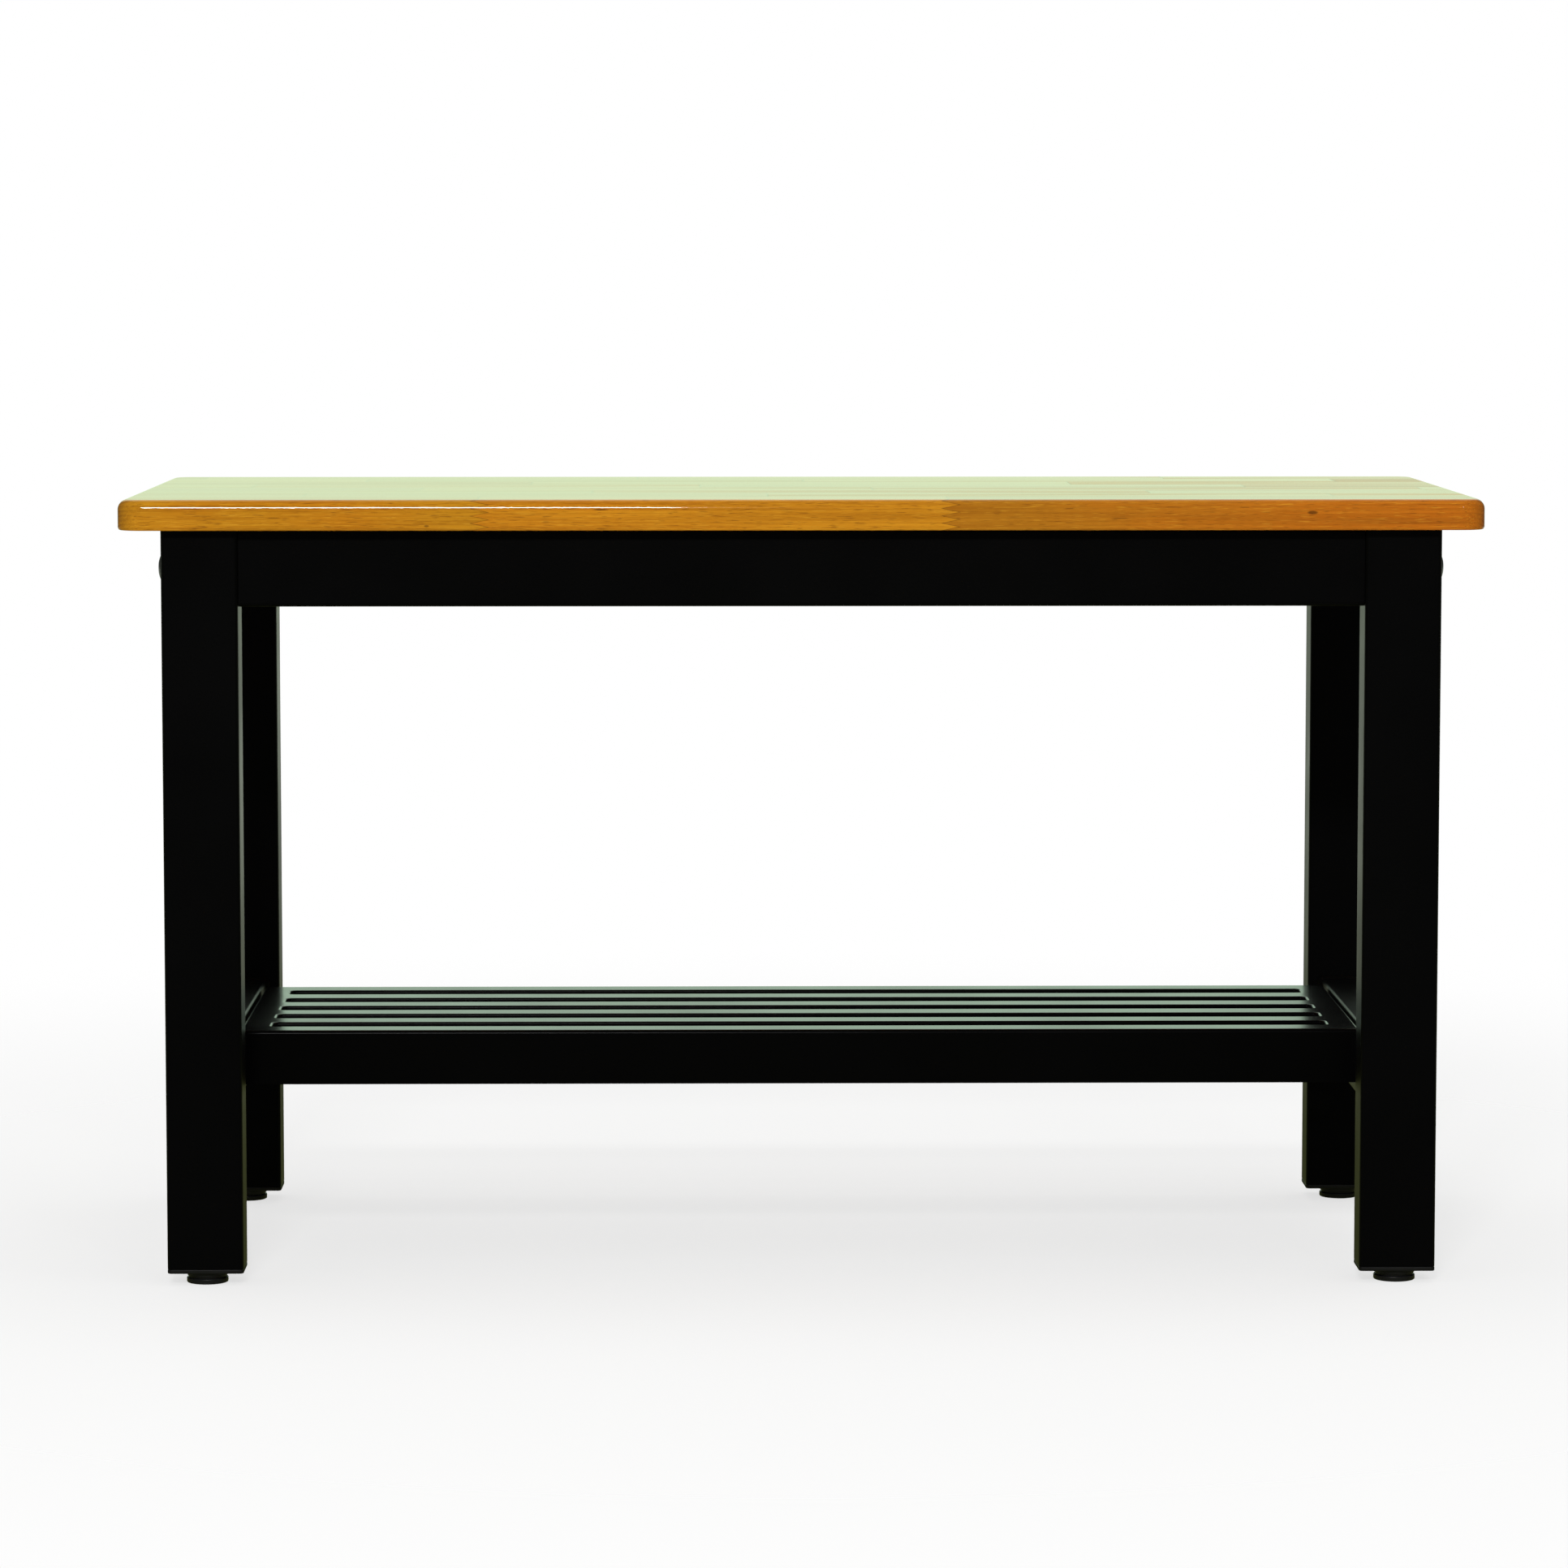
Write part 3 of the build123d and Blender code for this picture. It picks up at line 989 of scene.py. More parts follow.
def flat_ring(width: float, depth: float, wall: float, radius: float) -> tuple[BMesh, list[BMVert]]:
    """Flat ring with rounded corners, on z = 0.

    Args:
        width: Length along X.
        depth: Length along Y.
        wall: Width of the ring itself.
        radius: Outer radius of its corners.

    Returns:
        The ring and the points round its opening.
    """
    shape = outline(width, depth, radius, segments=6)
    opening = shape.faces[:]
    bmesh.ops.inset_region(shape, faces=opening, thickness=wall, use_boundary=True, use_even_offset=True)
    points = opening[0].verts[:]
    bmesh.ops.delete(shape, geom=opening, context="FACES_ONLY")
    return shape, points


def thicken(shape: BMesh, height: float) -> None:
    """Pulls a flat region up along Z into a closed solid."""
    pull(shape, bmesh.ops.extrude_face_region(shape, geom=shape.faces[:])["geom"], height)
    bmesh.ops.recalc_face_normals(shape, faces=shape.faces)


def is_flat(face: BMFace) -> bool:
    """Tells if a face looks straight up or down."""
    return abs(face.normal.z) > 0.99


def is_upright(edge: BMEdge) -> bool:
    """Tells if an edge runs straight up."""
    return (edge.verts[0].co.xy - edge.verts[1].co.xy).length < HAIR


def outer_rims(shape: BMesh) -> list[BMEdge]:
    """Edges between the flat ends of an upright solid and its outer walls.

    Args:
        shape: The solid, round the Z axis.

    Returns:
        The edges.
    """
    rims = []
    for edge in shape.edges:
        walls = [face for face in edge.link_faces if not is_flat(face)]
        if len(edge.link_faces) != 2 or len(walls) != 1:
            continue
        if walls[0].normal.xy.dot(walls[0].calc_center_median().xy) > 0.0:
            rims.append(edge)
    return rims


def plate(width: float, depth: float, height: float, radius: float, bore: float,
          edge_break: float) -> BMesh:
    """Flat plate on z = 0 with rounded corners and a round bore.

    Args:
        width: Length along X.
        depth: Length along Y.
        height: Thickness along Z.
        radius: Radius of its corners.
        bore: Radius of the bore.
        edge_break: Rounding of its outer edges.

    Returns:
        The plate.
    """
    segments = 9
    shape = outline(width, depth, radius, segments)
    bmesh.ops.delete(shape, geom=shape.faces[:], context="FACES_ONLY")
    bmesh.ops.create_circle(shape, segments=4 * (segments + 1), radius=bore)
    bmesh.ops.bridge_loops(shape, edges=shape.edges[:])
    thicken(shape, height)
    round_edges(shape, outer_rims(shape), edge_break, segments=3)
    return shape


def threaded_rod(crest: float, root: float, pitch: float, length: float) -> BMesh:
    """Rod with a helical thread on z = 0, along +Z.

    Args:
        crest: Outer radius.
        root: Inner radius.
        pitch: Rise of one turn.
        length: Length along Z.

    Returns:
        The rod, closed at both ends.
    """
    steps = 28
    tooth = ((0.0, root), (0.14, root), (0.46, crest), (0.68, crest))
    turns = range(-1, int(length / pitch) + 2)
    shape = strand([(radius, (turn + share) * pitch) for turn in turns for share, radius in tooth])
    bmesh.ops.spin(shape, geom=shape.verts[:] + shape.edges[:], cent=(0.0, 0.0, 0.0), axis=(0.0, 0.0, 1.0),
                   dvec=(0.0, 0.0, pitch / steps), angle=math.tau, steps=steps)
    bmesh.ops.remove_doubles(shape, verts=shape.verts, dist=HAIR)
    cut_off(shape, 0.0, -1.0)
    cut_off(shape, length, 1.0)
    close(shape)
    return shape


@dataclass
class SeatBoard:
    """Timber seat with rounded corners and rounded edges."""

    corner_radius: float = 0.015
    top_round: float = 0.006
    bottom_round: float = 0.0015

    def shape(self) -> BMesh:
        """Builds the board with its rounded edges.

        Returns:
            The board, in its place.
        """
        extent = Extent.of("seat_board")
        board = outline(extent.size.x, extent.size.y, self.corner_radius, segments=12)
        thicken(board, extent.size.z)
        top = [edge for edge in outer_rims(board) if edge.verts[0].co.z > extent.size.z / 2]
        round_edges(board, top, self.top_round, segments=8)
        bottom = [edge for edge in outer_rims(board) if edge.verts[0].co.z < HAIR]
        round_edges(board, bottom, self.bottom_round, segments=4)
        return put(board, extent.foot)

    def build(self, shop: Workshop) -> None:
        """Adds the board to the scene."""
        shop.add(self.shape(), "seat_timber", Slot.TIMBER, nodes=("seat_board",))


@dataclass
class TubeFrame:
    """Legs, aprons and side rails of steel tube, with the welds of the side frames."""

    wall: float = 0.0015
    corner_radius: float = 0.0025
    rail_radius: float = 0.0018
    end_break: float = 0.00035
    bead: float = 0.0026
    ripple: float = 0.0004
    ripple_length: float = 0.0021
    ripple_rise: float = 0.6
    seat_gap: float = 0.0002

    def tube(self, node: str, heading: Heading) -> BMesh:
        """Builds one hollow tube in its place.

        Args:
            node: CAD node of the tube.
            heading: Way that the tube runs.

        Returns:
            The tube.
        """
        extent = Extent.of(node)
        size = extent.size
        width, depth, length = {
            Heading.UP: (size.x, size.y, size.z),
            Heading.RIGHT: (size.z, size.y, size.x),
            Heading.BACK: (size.x, size.z, size.y),
        }[heading]
        radius = self.rail_radius if heading is Heading.BACK else self.corner_radius
        shape, _ = flat_ring(width, depth, self.wall, radius)
        thicken(shape, length)
        round_edges(shape, outer_rims(shape), self.end_break, segments=2)
        return put(shape, extent.middle - heading.turn @ Vector((0.0, 0.0, length / 2)), heading)

    def weld(self, width: float, height: float) -> BMesh:
        """Builds a rippled fillet weld round a rail's end, on z = 0 with the rail along +Z.

        Args:
            width: Section of the rail along X.
            height: Section of the rail along Y.

        Returns:
            The weld.
        """
        bead = self.bead
        shape, crown = flat_ring(width + 2 * bead, height + 2 * bead, bead, self.rail_radius + bead)
        bmesh.ops.translate(shape, vec=(0.0, 0.0, bead), verts=crown)
        fold(shape, [edge for edge in open_edges(shape) if edge.verts[0] in crown], -bead)
        bmesh.ops.bridge_loops(shape, edges=open_edges(shape))
        long_edges = [edge for edge in shape.edges if edge.calc_length() > 4 * bead]
        cuts = int(height / self.ripple_length)
        bmesh.ops.subdivide_edges(shape, edges=long_edges, cuts=cuts, use_grid_fill=True)
        slopes = []
        for edge in shape.edges:
            run = edge.verts[0].co - edge.verts[1].co
            if abs(run.z) > bead / 2 and run.xy.length > bead / 2:
                slopes.append(edge)
        bmesh.ops.subdivide_edges(shape, edges=slopes, cuts=2, use_grid_fill=True)
        bmesh.ops.recalc_face_normals(shape, faces=shape.faces)
        for vert in shape.verts:
            if HAIR < vert.co.z < bead - HAIR:
                wave = noise.noise(vert.co / self.ripple_length)
                vert.co += vert.normal * self.ripple * (self.ripple_rise + wave)
        return shape

    def welds(self, node: str) -> BMesh:
        """Builds the welds at both ends of a side rail.

        Args:
            node: CAD node of the rail.

        Returns:
            The welds, cut off under the seat board.
        """
        extent = Extent.of(node)
        shapes = []
        for y, heading in ((extent.low.y, Heading.BACK), (extent.high.y, Heading.FRONT)):
            shape = self.weld(extent.size.x, extent.size.z)
            shapes.append(put(shape, Vector((extent.middle.x, y, extent.middle.z)), heading))
        both = join(shapes)
        cut_off(both, Extent.of("seat_board").low.z - self.seat_gap, 1.0)
        close(both)
        return both

    def build(self, shop: Workshop) -> None:
        """Adds the tubes and their welds to the scene.

        Args:
            shop: The workshop that adds the pieces.
        """
        runs = {f"leg_{corner.label}": Heading.UP for corner in Corner}
        runs.update({"apron_front": Heading.RIGHT, "apron_back": Heading.RIGHT})
        rails = [f"{level}_rail_{end}" for level in ("upper", "lower") for end in ("left", "right")]
        runs.update({rail: Heading.BACK for rail in rails})
        for node, heading in runs.items():
            shop.add(self.tube(node, heading), f"tube_{node}", Slot.COATED_TUBE, nodes=(node,))
        for rail in rails:
            shop.add(self.welds(rail), f"welds_{rail}", Slot.COATED_TUBE)


@dataclass
class ShelfTray:
    """Shoe shelf: one folded sheet with long slots."""

    slot_count: int = 5
    slot_width: float = 0.0175
    slat_width: float = 0.020
    end_margin: float = 0.018
    slot_corner: float = 0.003
    slot_lip: float = 0.005
    slot_edge: float = 0.0016
    bend: float = 0.0025
    sheet: float = 0.0015

    @cached_property
    def extent(self) -> Extent:
        """Box of the tray."""
        return Extent.of("shelf_tray")

    def shape(self) -> BMesh:
        """Folds the sheet and rounds its bends.

        Returns:
            The outer skin of the sheet, in its place.
        """
        shape = self.slotted()
        rim = open_edges(shape)
        outside = [edge for edge in rim if self.on_rim(edge)]
        inside = [edge for edge in rim if edge not in outside]
        fold(shape, outside, -self.extent.size.z)
        fold(shape, inside, -self.slot_lip)
        bmesh.ops.recalc_face_normals(shape, faces=shape.faces)
        if max(shape.faces, key=lambda face: face.calc_area()).normal.z < 0.0:
            bmesh.ops.reverse_faces(shape, faces=shape.faces)
        slot_corners = [edge for edge in shape.edges if is_upright(edge) and not self.on_rim(edge)]
        round_edges(shape, slot_corners, self.slot_corner, segments=5)
        rolls = [edge for edge in shape.edges if self.is_fold(edge) and not self.on_rim(edge)]
        round_edges(shape, rolls, self.slot_edge, segments=4)
        bends = [edge for edge in shape.edges if self.is_fold(edge) and self.on_rim(edge)]
        bends += [edge for edge in shape.edges if self.is_corner(edge)]
        round_edges(shape, bends, self.bend, segments=5)
        return shape

    def slotted(self) -> BMesh:
        """Builds the flat sheet as a grid whose lines are the edges of the slots.

        Returns:
            The sheet, in its place, without the slots.
        """
        low, high = self.extent.low, self.extent.high
        across = [low.x, low.x + self.end_margin, high.x - self.end_margin, high.x]
        pitch = self.slot_width + self.slat_width
        first = self.extent.middle.y - self.slot_count * pitch / 2 + self.slat_width / 2
        back = [low.y]
        for slot in range(self.slot_count):
            back += [first + slot * pitch, first + slot * pitch + self.slot_width]
        back.append(high.y)
        columns, rows = len(across) - 1, len(back) - 1
        shape = bmesh.new()
        bmesh.ops.create_grid(shape, x_segments=columns, y_segments=rows, size=0.5)
        slots = []
        for face in shape.faces:
            middle = face.calc_center_median()
            if int((middle.x + 0.5) * columns) == 1 and int((middle.y + 0.5) * rows) % 2 == 1:
                slots.append(face)
        for vert in shape.verts:
            column, row = round((vert.co.x + 0.5) * columns), round((vert.co.y + 0.5) * rows)
            vert.co = (across[column], back[row], high.z)
        bmesh.ops.delete(shape, geom=slots, context="FACES")
        return shape

    def gaps(self, point: Vector) -> list[float]:
        """Distances of a point from the nearer end and the nearer side of the tray."""
        aside = point - self.extent.middle
        return [self.extent.size[axis] / 2 - abs(aside[axis]) for axis in range(2)]

    def on_rim(self, edge: BMEdge) -> bool:
        """Tells if an edge lies on the outer rim of the tray."""
        return min(self.gaps((edge.verts[0].co + edge.verts[1].co) / 2)) < HAIR

    def is_corner(self, edge: BMEdge) -> bool:
        """Tells if an edge is an upright corner of the outer flange."""
        return is_upright(edge) and max(self.gaps(edge.verts[0].co)) < HAIR

    def is_fold(self, edge: BMEdge) -> bool:
        """Tells if an edge joins the flat top to a folded strip."""
        flats = [face for face in edge.link_faces if is_flat(face)]
        return len(edge.link_faces) == 2 and len(flats) == 1

    def build(self, shop: Workshop) -> None:
        """Adds the tray to the scene."""
        shop.add(self.shape(), "shelf_sheet", Slot.COATED_SHEET, nodes=("shelf_tray",), wall=self.sheet)


@dataclass(frozen=True)
class DomedScrew:
    """Screw with a domed head and a hexagon socket."""

    head_radius: float
    head_height: float
    head_rim: float
    shank_radius: float
    length: float
    socket_width: float
    socket_depth: float
    point_length: float = 0.001
    point_step: float = 0.001
    mouth_share: float = 0.72
    head_break: float = 0.0003
    rim_break: float = 0.0002
    dome_start: float = 0.6
    steps: int = 48

    def profile(self) -> Profile:
        """Lays out the turned outline.

        Returns:
            Its points, from the tip to the rim of the socket.
        """
        crown = self.head_height - self.head_rim
        ball = (self.head_radius ** 2 + crown ** 2) / (2 * crown)
        lowest = math.degrees(math.acos(self.head_radius / ball)) + self.dome_start
        highest = math.degrees(math.acos(self.mouth_share * self.socket_width / ball))
        points = [
            (0.0, -self.length),
            (self.shank_radius - self.point_step, -self.length),
            (self.shank_radius, self.point_length - self.length),
            (self.shank_radius, 0.0),
            (self.head_radius - self.head_break, 0.0),
            (self.head_radius, self.head_break),
            (self.head_radius, self.head_rim - self.rim_break),
        ]
        return points + arc((0.0, self.head_height - ball), ball, lowest, highest, 8)

    def shape(self) -> BMesh:
        """Builds the screw and sinks its socket.

        Returns:
            The screw with its head up, the underside of the head on z = 0.
        """
        profile = self.profile()
        shape = lathe(profile, self.steps)
        rim = open_edges(shape)
        reach = self.socket_width / math.sqrt(3.0)
        hexagon = bmesh.ops.create_circle(shape, segments=6, radius=reach)["verts"]
        bmesh.ops.translate(shape, vec=(0.0, 0.0, profile[-1][1]), verts=hexagon)
        sides = [edge for edge in shape.edges if edge.is_wire]
        bmesh.ops.subdivide_edges(shape, edges=sides, cuts=self.steps // 6 - 1)
        mouth = [edge for edge in shape.edges if edge.is_wire]
        bmesh.ops.bridge_loops(shape, edges=rim + mouth)
        fold(shape, mouth, -self.socket_depth)
        close(shape)
        return shape


@dataclass
class ApronBolts:
    """Button-head bolts through the legs into the aprons."""

    screw: DomedScrew = DomedScrew(
        head_radius=0.008,
        head_height=0.00265,
        head_rim=0.0008,
        shank_radius=0.004,
        length=0.060,
        socket_width=0.005,
        socket_depth=0.0016,
    )

    def build(self, shop: Workshop) -> None:
        """Adds the four bolts to the scene.

        Args:
            shop: The workshop that adds the pieces.
        """
        extent = Extent.of("apron_bolts")
        row_y = extent.size.y / 2 - self.screw.head_radius
        face_x = extent.size.x / 2 - self.screw.head_height
        bolts = []
        for corner in Corner:
            outward, _ = corner.headings
            bolts.append(put(self.screw.shape(), corner.spot(face_x, row_y, extent.middle.z), outward))
        shop.add(join(bolts), "bolt_heads", Slot.BOLT_BLACK, nodes=("apron_bolts",))


@dataclass
class SeatFixings:
    """Tabs welded to the aprons and upper rails, and the wood screws through them into the seat."""

    length: float = 0.040
    reach: float = 0.025
    corner_radius: float = 0.005
    hole_radius: float = 0.00275
    edge_break: float = 0.0004
    apron_row: int = 3
    bead_length: float = 0.030
    bead_radius: float = 0.0022
    bead_bluntness: int = 6
    ripples: int = 13
    ripple: float = 0.09
    screw: DomedScrew = DomedScrew(
        head_radius=0.0045,
        head_height=0.0028,
        head_rim=0.0014,
        shank_radius=0.00225,
        length=0.015,
        socket_width=0.003,
        socket_depth=0.0012,
        point_length=0.004,
        point_step=0.0019,
    )

    def bead(self) -> BMesh:
        """Builds one rippled weld.

        Returns:
            The weld, from z = 0 along +Z.
        """
        steps = 4 * self.ripples
        profile = [(0.0, 0.0)]
        for step in range(1, steps):
            share = step / steps
            taper = math.sqrt(1.0 - abs(2.0 * share - 1.0) ** self.bead_bluntness)
            ripple = 1.0 + self.ripple * math.cos(math.pi * step / 2)
            profile.append((self.bead_radius * taper * ripple, self.bead_length * share))
        profile.append((0.0, self.bead_length))
        return lathe(profile, steps=16)

    def apron_places(self) -> list[Vector]:
        """Finds where the apron tabs are.

        Returns:
            Middles of their undersides, the front row first.
        """
        extent = Extent.of("seat_tabs_aprons")
        step = (extent.size.x - self.length) / (self.apron_row - 1)
        row = [extent.low.x + self.length / 2 + number * step for number in range(self.apron_row)]
        across = (extent.size.y - self.reach) / 2
        return [Vector((x, side * across, extent.low.z)) for side in (-1, 1) for x in row]

    def rail_places(self) -> list[Vector]:
        """Middles of the undersides of the rail tabs, the left one first."""
        extent = Extent.of("seat_tabs_rails")
        return [Vector((end * (extent.size.x - self.reach) / 2, 0.0, extent.low.z)) for end in (-1, 1)]

    def tabs(self, node: str, places: list[Vector], heading: Heading) -> BMesh:
        """Builds tabs with the welds along their outer edges.

        Args:
            node: CAD node of the tabs.
            places: Middles of their undersides.
            heading: Way that the welds run.

        Returns:
            The tabs and welds as one shape.
        """
        size = Extent.of(node).size
        along_x = heading is Heading.RIGHT
        width, depth = (self.length, self.reach) if along_x else (self.reach, self.length)
        shapes = []
        for place in places:
            tab = plate(width, depth, size.z, self.corner_radius, self.hole_radius, self.edge_break)
            start = place - heading.turn @ Vector((0.0, 0.0, self.bead_length / 2))
            if along_x:
                start.y = math.copysign(size.y / 2, place.y)
            else:
                start.x = math.copysign(size.x / 2, place.x)
            shapes += [put(tab, place), put(self.bead(), start, heading)]
        return join(shapes)

    def build(self, shop: Workshop) -> None:
        """Adds the tabs and the screws to the scene.

        Args:
            shop: The workshop that adds the pieces.
        """
        sets = (
            ("apron_tabs", "seat_tabs_aprons", self.apron_places(), Heading.RIGHT),
            ("rail_tabs", "seat_tabs_rails", self.rail_places(), Heading.BACK),
        )
        for name, node, places, heading in sets:
            shop.add(self.tabs(node, places, heading), name, Slot.COATED_TUBE, nodes=(node,))
        places = self.apron_places() + self.rail_places()
        screws = [put(self.screw.shape(), place, Heading.DOWN) for place in places]
        shop.add(join(screws), "wood_screws", Slot.ZINC_STEEL, nodes=("seat_screws",))


@dataclass
class ShelfFixings:
    """Rivet nuts in the lower rails, and the screws that hold the shelf tray to them."""

    flange_radius: float = 0.0065
    flange_thickness: float = 0.002
    edge_break: float = 0.0003
    body_radius: float = 0.0045
    body_length: float = 0.012
    grip: float = 0.0016
    bulge: float = 0.0014
    bore_radius: float = 0.00305
    screw: DomedScrew = DomedScrew(
        head_radius=0.00525,
        head_height=0.0033,
        head_rim=0.0011,
        shank_radius=0.003,
        length=0.014,
        socket_width=0.004,
        socket_depth=0.0014,
    )

    def nut(self) -> BMesh:
        """Builds a rivet nut, swollen behind the rail's wall.

        Returns:
            The nut, with its flange under z = 0 and its body above.
        """
        rim, low, edge, swell = self.flange_radius, -self.flange_thickness, self.edge_break, self.bulge
        return lathe([
            (self.bore_radius, low),
            (rim - edge, low),
            (rim, low + edge),
            (rim, -edge),
            (rim - edge, 0.0),
            (self.body_radius, 0.0),
            (self.body_radius, self.grip),
            (self.body_radius + swell, self.grip + swell / 2),
            (self.body_radius + swell, self.grip + swell),
            (self.body_radius, self.grip + 2 * swell),
            (self.body_radius, self.body_length),
            (self.bore_radius, self.body_length),
            (self.bore_radius, low),
        ], steps=48)

    def build(self, shop: Workshop) -> None:
        """Adds the rivet nuts and the screws to the scene.

        Args:
            shop: The workshop that adds the pieces.
        """
        rail = Extent.of("shelf_rivet_nuts")
        rail_x = rail.size.x / 2 - self.body_length
        sheet_x = Extent.of("shelf_screws").size.x / 2 - self.screw.length
        row_y = rail.size.y / 2 - self.flange_radius
        nuts, screws = [], []
        for corner in Corner:
            outward, inward = corner.headings
            nuts.append(put(self.nut(), corner.spot(rail_x, row_y, rail.middle.z), outward))
            screws.append(put(self.screw.shape(), corner.spot(sheet_x, row_y, rail.middle.z), inward))
        shop.add(join(nuts), "rivet_nuts", Slot.ZINC_STEEL, nodes=("shelf_rivet_nuts",))
        shop.add(join(screws), "tray_screws", Slot.BOLT_BLACK, nodes=("shelf_screws",))


@dataclass
class LevellingFoot:
    """One screw-in foot with the plug of its leg."""

    corner: Corner
    rim_height: float = 0.0025
    rim_corner: float = 0.0025
    rim_break: float = 0.0006
    tube_wall: float = 0.0016
    core_inset: float = 0.0015
    core_corner: float = 0.001
    core_break: float = 0.0003
    fin_count: int = 4
    fin_height: float = 0.002
    fin_break: float = 0.0004
    bore: float = 0.0061
    base_edge: float = 0.0008
    socket_depth: float = 0.0018
    turning_gap: float = 0.00005
    collar_edge: float = 0.0007
    collar_rim: float = 0.0003
    waist_radius: float = 0.0112
    waist_height: float = 0.0007
    stud_radius: float = 0.004
    thread_depth: float = 0.00065
    thread_sharp: float = 60.0
    pitch: float = 0.00125
    pin_radius: float = 0.003
    pin_length: float = 0.0016
    shoulder_gap: float = 0.0002
    pin_overlap: float = 0.0004

    def measure(self, piece: str) -> Extent:
        """Box of this corner's CAD node of a kind."""
        return Extent.of(f"{piece}_{self.corner.label}")

    @property
    def axis(self) -> Vector:
        """Foot of the stud's axis on the floor."""
        middle = self.measure("foot_stud").middle
        return Vector((middle.x, middle.y, 0.0))

    def plug(self) -> BMesh:
        """Builds the leg's plug: a rim under the tube and a finned body in it.

        Returns:
            The plug, in its place.
        """
        extent = self.measure("leg_plug")
        width, depth, height = extent.size
        body = height - self.rim_height
        core = self.tube_wall + self.core_inset
        slabs = [
            (0.0, 0.0, self.rim_height, self.rim_corner, self.rim_break),
            (self.rim_height, core, body, self.core_corner, self.core_break),
        ]
        for fin in range(self.fin_count):
            start = self.rim_height + fin * body / self.fin_count
            slabs.append((start, self.tube_wall, self.fin_height, self.core_corner, self.fin_break))
        shapes = []
        for start, inset, thickness, radius, edge_break in slabs:
            slab = plate(width - 2 * inset, depth - 2 * inset, thickness, radius, self.bore, edge_break)
            shapes.append(put(slab, Vector((0.0, 0.0, start))))
        return put(join(shapes), extent.foot)

    def base(self) -> BMesh:
        """Builds the round base, with the socket of the stud's pin.

        Returns:
            The base, in its place.
        """
        size, edge = self.measure("foot_base").size, self.base_edge
        radius, height = size.x / 2, size.z
        socket, floor = self.pin_radius + self.turning_gap, height - self.socket_depth
        profile = [(0.0, 0.0), (radius - 3 * edge, 0.0)]
        profile += arc((radius - edge, edge), edge, -90.0, 0.0, 5)
        profile += arc((radius - edge, height - edge), edge, 0.0, 90.0, 5)
        profile += [(socket, height), (socket, floor), (0.0, floor)]
        return put(lathe(profile), self.axis)

    def collar(self) -> BMesh:
        """Builds the adjusting collar with its waist.

        Returns:
            The collar, in its place.
        """
        extent = self.measure("foot_collar")
        radius, low, high = extent.size.x / 2, extent.low.z, extent.high.z
        edge, rim = self.collar_edge, self.collar_rim
        inner, band = self.stud_radius + self.turning_gap, low + self.waist_height
        profile = [(inner, high), (inner, low), (self.waist_radius, low), (self.waist_radius, band)]
        profile += arc((radius - edge, band + edge), edge, -90.0, 0.0, 5)
        profile += arc((radius - rim, high - rim), rim, 0.0, 90.0, 5)
        profile.append((inner, high))
        return put(lathe(profile), self.axis)

    def stud(self) -> BMesh:
        """Builds the threaded stud with the pin that turns in the base.

        Returns:
            The stud, in its place.
        """
        extent = self.measure("foot_stud")
        low, high = extent.low.z, extent.high.z
        shoulder = low + self.pin_length + self.shoulder_gap
        root = self.stud_radius - self.thread_depth
        rod = threaded_rod(self.stud_radius, root, self.pitch, high - shoulder)
        top = shoulder + self.pin_overlap
        pin = lathe([(0.0, low), (self.pin_radius, low), (self.pin_radius, top), (0.0, top)], steps=32)
        return join([put(rod, self.axis + Vector((0.0, 0.0, shoulder))), put(pin, self.axis)])

    def build(self, shop: Workshop) -> None:
        """Adds the foot and the plug to the scene.

        Args:
            shop: The workshop that adds the pieces.
        """
        label = self.corner.label
        still, turning = f"foot_{label}", f"stud_{label}"
        shop.add(self.plug(), f"plug_{label}", Slot.PLUG_PLASTIC, nodes=(f"leg_plug_{label}",))
        shop.add(self.base(), f"base_{label}", Slot.FOOT_PLASTIC, still, (f"foot_base_{label}",))
        shop.add(self.collar(), f"collar_{label}", Slot.FOOT_PLASTIC, turning, (f"foot_collar_{label}",))
        shop.add(self.stud(), f"stud_{label}", Slot.ZINC_STEEL, turning, (f"foot_stud_{label}",),
                 sharp=self.thread_sharp)


@dataclass
class HiddenHardware:
    """Plates, nuts and sleeves inside the tubes and plugs, which keep their solids."""

    slots: dict[str, Slot] = field(default_factory=lambda: {
        "apron_end_plates": Slot.COATED_TUBE,
        "apron_weld_nuts": Slot.ZINC_STEEL,
        "foot_inserts": Slot.ZINC_STEEL,
    })

    def build(self, shop: Workshop) -> None:
        """Dresses the solids."""
        for node, slot in self.slots.items():
            shop.dress(node, slot)


@dataclass(frozen=True)
class SoftLamp:
    """A rectangular lamp that looks at a point."""

    name: str
    place: Triple
    aim: Triple
    width: float
    height: float
    power: float
    mirrored: bool = True

    def build(self) -> None:
        """Adds the lamp to the scene."""
        data = bpy.data.lights.new(self.name, "AREA")
        data.shape = "RECTANGLE"
        data.size = self.width
        data.size_y = self.height
        data.energy = self.power
        lamp = link(self.name, data)
        lamp.location = self.place
        lamp.visible_glossy = self.mirrored
        lamp.rotation_euler = (Vector(self.aim) - Vector(self.place)).to_track_quat("-Z", "Y").to_euler()


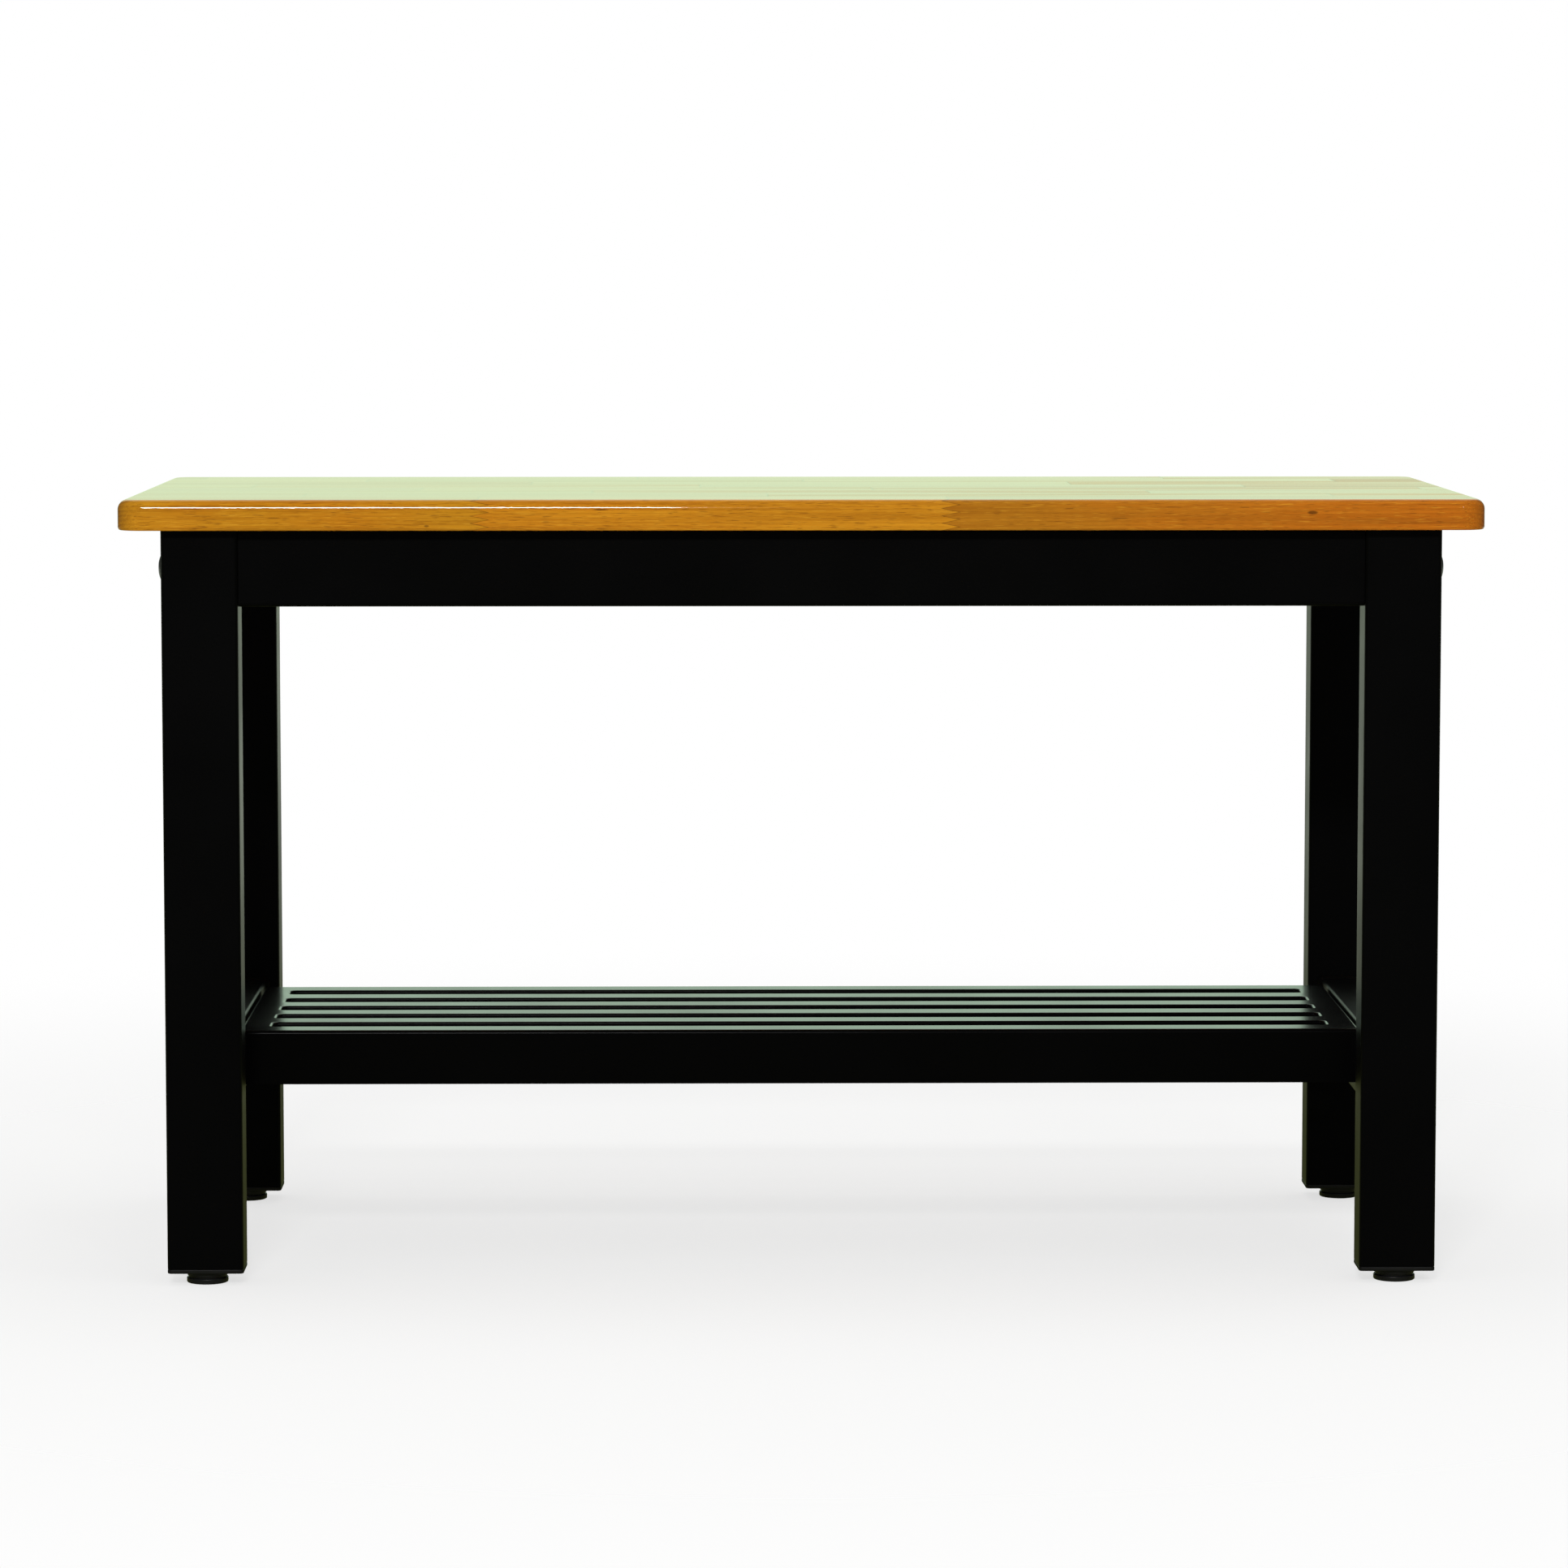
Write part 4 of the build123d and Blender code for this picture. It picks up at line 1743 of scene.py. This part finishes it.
@dataclass
class Studio:
    """Camera, lamps, pale floor and white surroundings."""

    camera_place: Triple = (-0.0562, -3.5054, 0.608)
    camera_lens: float = 131.25
    camera_sensor: float = 36.0
    camera_down: float = 0.09273
    camera_right: float = 0.01362
    floor_reach: float = 6.0
    floor_colour: Colour = (0.9, 0.9, 0.89, 1.0)
    floor_shown: float = 0.32
    floor_fade: Pair = (0.5, 1.5)
    # Painted reflection: the colours that the floor glows with to reflection rays, near the bench and far
    # behind it.
    near_painted_reflection: Colour = (0.14, 0.155, 0.05, 1.0)
    far_painted_reflection: Colour = (1.0, 1.1, 0.92, 1.0)
    painted_reflection_fade: Pair = (0.3, 3.5)
    fill: float = 0.5
    low_wall: Colour = (0.735, 0.935, 0.63, 1.0)
    high_wall: Colour = (0.68, 0.94, 0.74, 1.0)
    window: Colour = (1.0, 1.2, 1.0, 1.0)
    dim_room: Colour = (0.05, 0.055, 0.05, 1.0)
    wall_rise: Pair = (0.05, 0.13)
    window_rise: Pair = (0.18, 0.28)
    wall_back: Pair = (0.20, 0.85)
    wall_side: Pair = (0.18, 0.45)
    lamps: tuple[SoftLamp, ...] = (
        SoftLamp("key_lamp", (-0.46, -4.0, 2.4), (0.0, 0.0, 0.35), 0.73, 0.35, 80.0),
        SoftLamp("side_lamp", (1.25, -4.0, 2.4), (0.0, 0.0, 0.35), 0.35, 0.35, 9.0),
        SoftLamp("top_lamp", (0.1, 0.2, 2.6), (0.0, 0.0, 0.3), 1.8, 1.4, 18.0, False),
    )

    def camera(self) -> None:
        """Adds the camera where the photograph was taken."""
        data = bpy.data.cameras.new("photo_camera")
        data.lens = self.camera_lens
        data.sensor_width = self.camera_sensor
        camera = link("photo_camera", data)
        camera.location = self.camera_place
        camera.rotation_euler = (math.radians(90.0) - self.camera_down, 0.0, -self.camera_right)
        bpy.context.scene.camera = camera

    def floor(self) -> None:
        """Adds a pale floor that shows soft shadows and fades into the white surroundings."""
        shape = bmesh.new()
        bmesh.ops.create_grid(shape, x_segments=1, y_segments=1, size=self.floor_reach)
        floor = link("studio_floor", mesh_of(shape, "studio_floor"))
        floor.data.materials.append(self.floor_material())

    def floor_material(self) -> Material:
        """Builds the floor's finish: matt and faint to the camera, and to reflection rays a painted
        reflection, a glow that is dark olive in front of and under the bench and bright far behind it, like
        a lit room's floor.

        Returns:
            The material.
        """
        material, web = new_material("pale_floor")
        x, y, _ = web.split(web.place())
        distance = web.math("SQRT", x * x + y * y)
        above = 1.0 - web.source("NewGeometry", "Backfacing")
        shown = web.span(distance, *self.floor_fade, self.floor_shown, 0.0) * above
        solid = 1.0 - web.source("LightPath", "Is Camera Ray") * (1.0 - shown)
        mirrored = web.tint(web.span(y, *self.painted_reflection_fade), self.near_painted_reflection, self.far_painted_reflection)
        clear = web.add("BsdfTransparent", {0: shade(1.0)}).outputs[0]
        matt = web.add("BsdfDiffuse", {0: self.floor_colour}).outputs[0]
        # Painted reflection: to reflection rays the floor glows with a fixed colour and is not lit.
        glow = web.add("Emission", {0: mirrored, 1: 1.0}).outputs[0]
        glossy = web.source("LightPath", "Is Glossy Ray")
        surface = web.add("MixShader", {0: glossy, 1: matt, 2: glow}).outputs[0]
        mixed = web.add("MixShader", {0: solid, 1: clear, 2: surface}).outputs[0]
        web.add("OutputMaterial", {0: mixed})
        return material

    def surroundings(self) -> None:
        """Makes the world white to the camera, pale green in reflections and neutral as fill light."""
        world = bpy.data.worlds.new("studio_white")
        world.use_nodes = True
        bpy.context.scene.world = world
        web = NodeWeb(world.node_tree)
        aside, back, up = web.split(web.add("TexCoord").outputs["Generated"])
        wall = web.tint(web.span(up, *self.wall_rise), self.low_wall, self.high_wall)
        wall = web.tint(web.span(up, *self.window_rise), wall, self.window)
        facing = web.span(back, *self.wall_back) * web.span(abs(aside), *self.wall_side, 1.0, 0.0)
        wall = web.tint(facing, self.dim_room, wall)
        colour = web.tint(web.source("LightPath", "Is Glossy Ray"), shade(self.fill), wall)
        colour = web.tint(web.source("LightPath", "Is Camera Ray"), colour, shade(1.0))
        background = web.add("Background", {0: colour, 1: 1.0})
        web.add("OutputWorld", {0: background.outputs[0]})

    def build(self) -> None:
        """Adds the whole studio to the scene."""
        bpy.context.scene.view_settings.view_transform = "Standard"
        self.camera()
        self.floor()
        self.surroundings()
        for lamp in self.lamps:
            lamp.build()


def finishes() -> dict[Slot, Finish]:
    """Chooses the finishes.

    Returns:
        The finish of each record slot.
    """
    return {
        Slot.TIMBER: VarnishedTimber(),
        Slot.COATED_TUBE: PowderCoat("coated_tube", level=0.0015, roughness=0.40, facing=0.05, peel=0.40),
        Slot.COATED_SHEET: PowderCoat("coated_sheet", level=0.0015, roughness=0.21, facing=0.05, peel=0.12),
        Slot.BOLT_BLACK: SteelFinish("black_oxide", shade(0.030), shade(0.016), metallic=0.4,
                                     roughness=0.34),
        Slot.ZINC_STEEL: SteelFinish("zinc_plate", shade(0.66, 1.02), shade(0.52, 1.03), metallic=1.0,
                                     roughness=0.32),
        Slot.PLUG_PLASTIC: MouldedPlastic("plug_plastic", level=0.006, roughness=0.48),
        Slot.FOOT_PLASTIC: MouldedPlastic("foot_plastic", level=0.008, roughness=0.30),
    }


def main() -> None:
    """Builds the bench and its studio."""
    logging.basicConfig(level=logging.INFO, format="%(name)s: %(message)s")
    shop = Workshop(finishes())
    assemblies: list[Assembly] = [
        SeatBoard(),
        TubeFrame(),
        ShelfTray(),
        ApronBolts(),
        SeatFixings(),
        ShelfFixings(),
        HiddenHardware(),
    ]
    assemblies += [LevellingFoot(corner) for corner in Corner]
    for assembly in assemblies:
        assembly.build(shop)
    Studio().build()


if __name__ == "__main__":
    main()
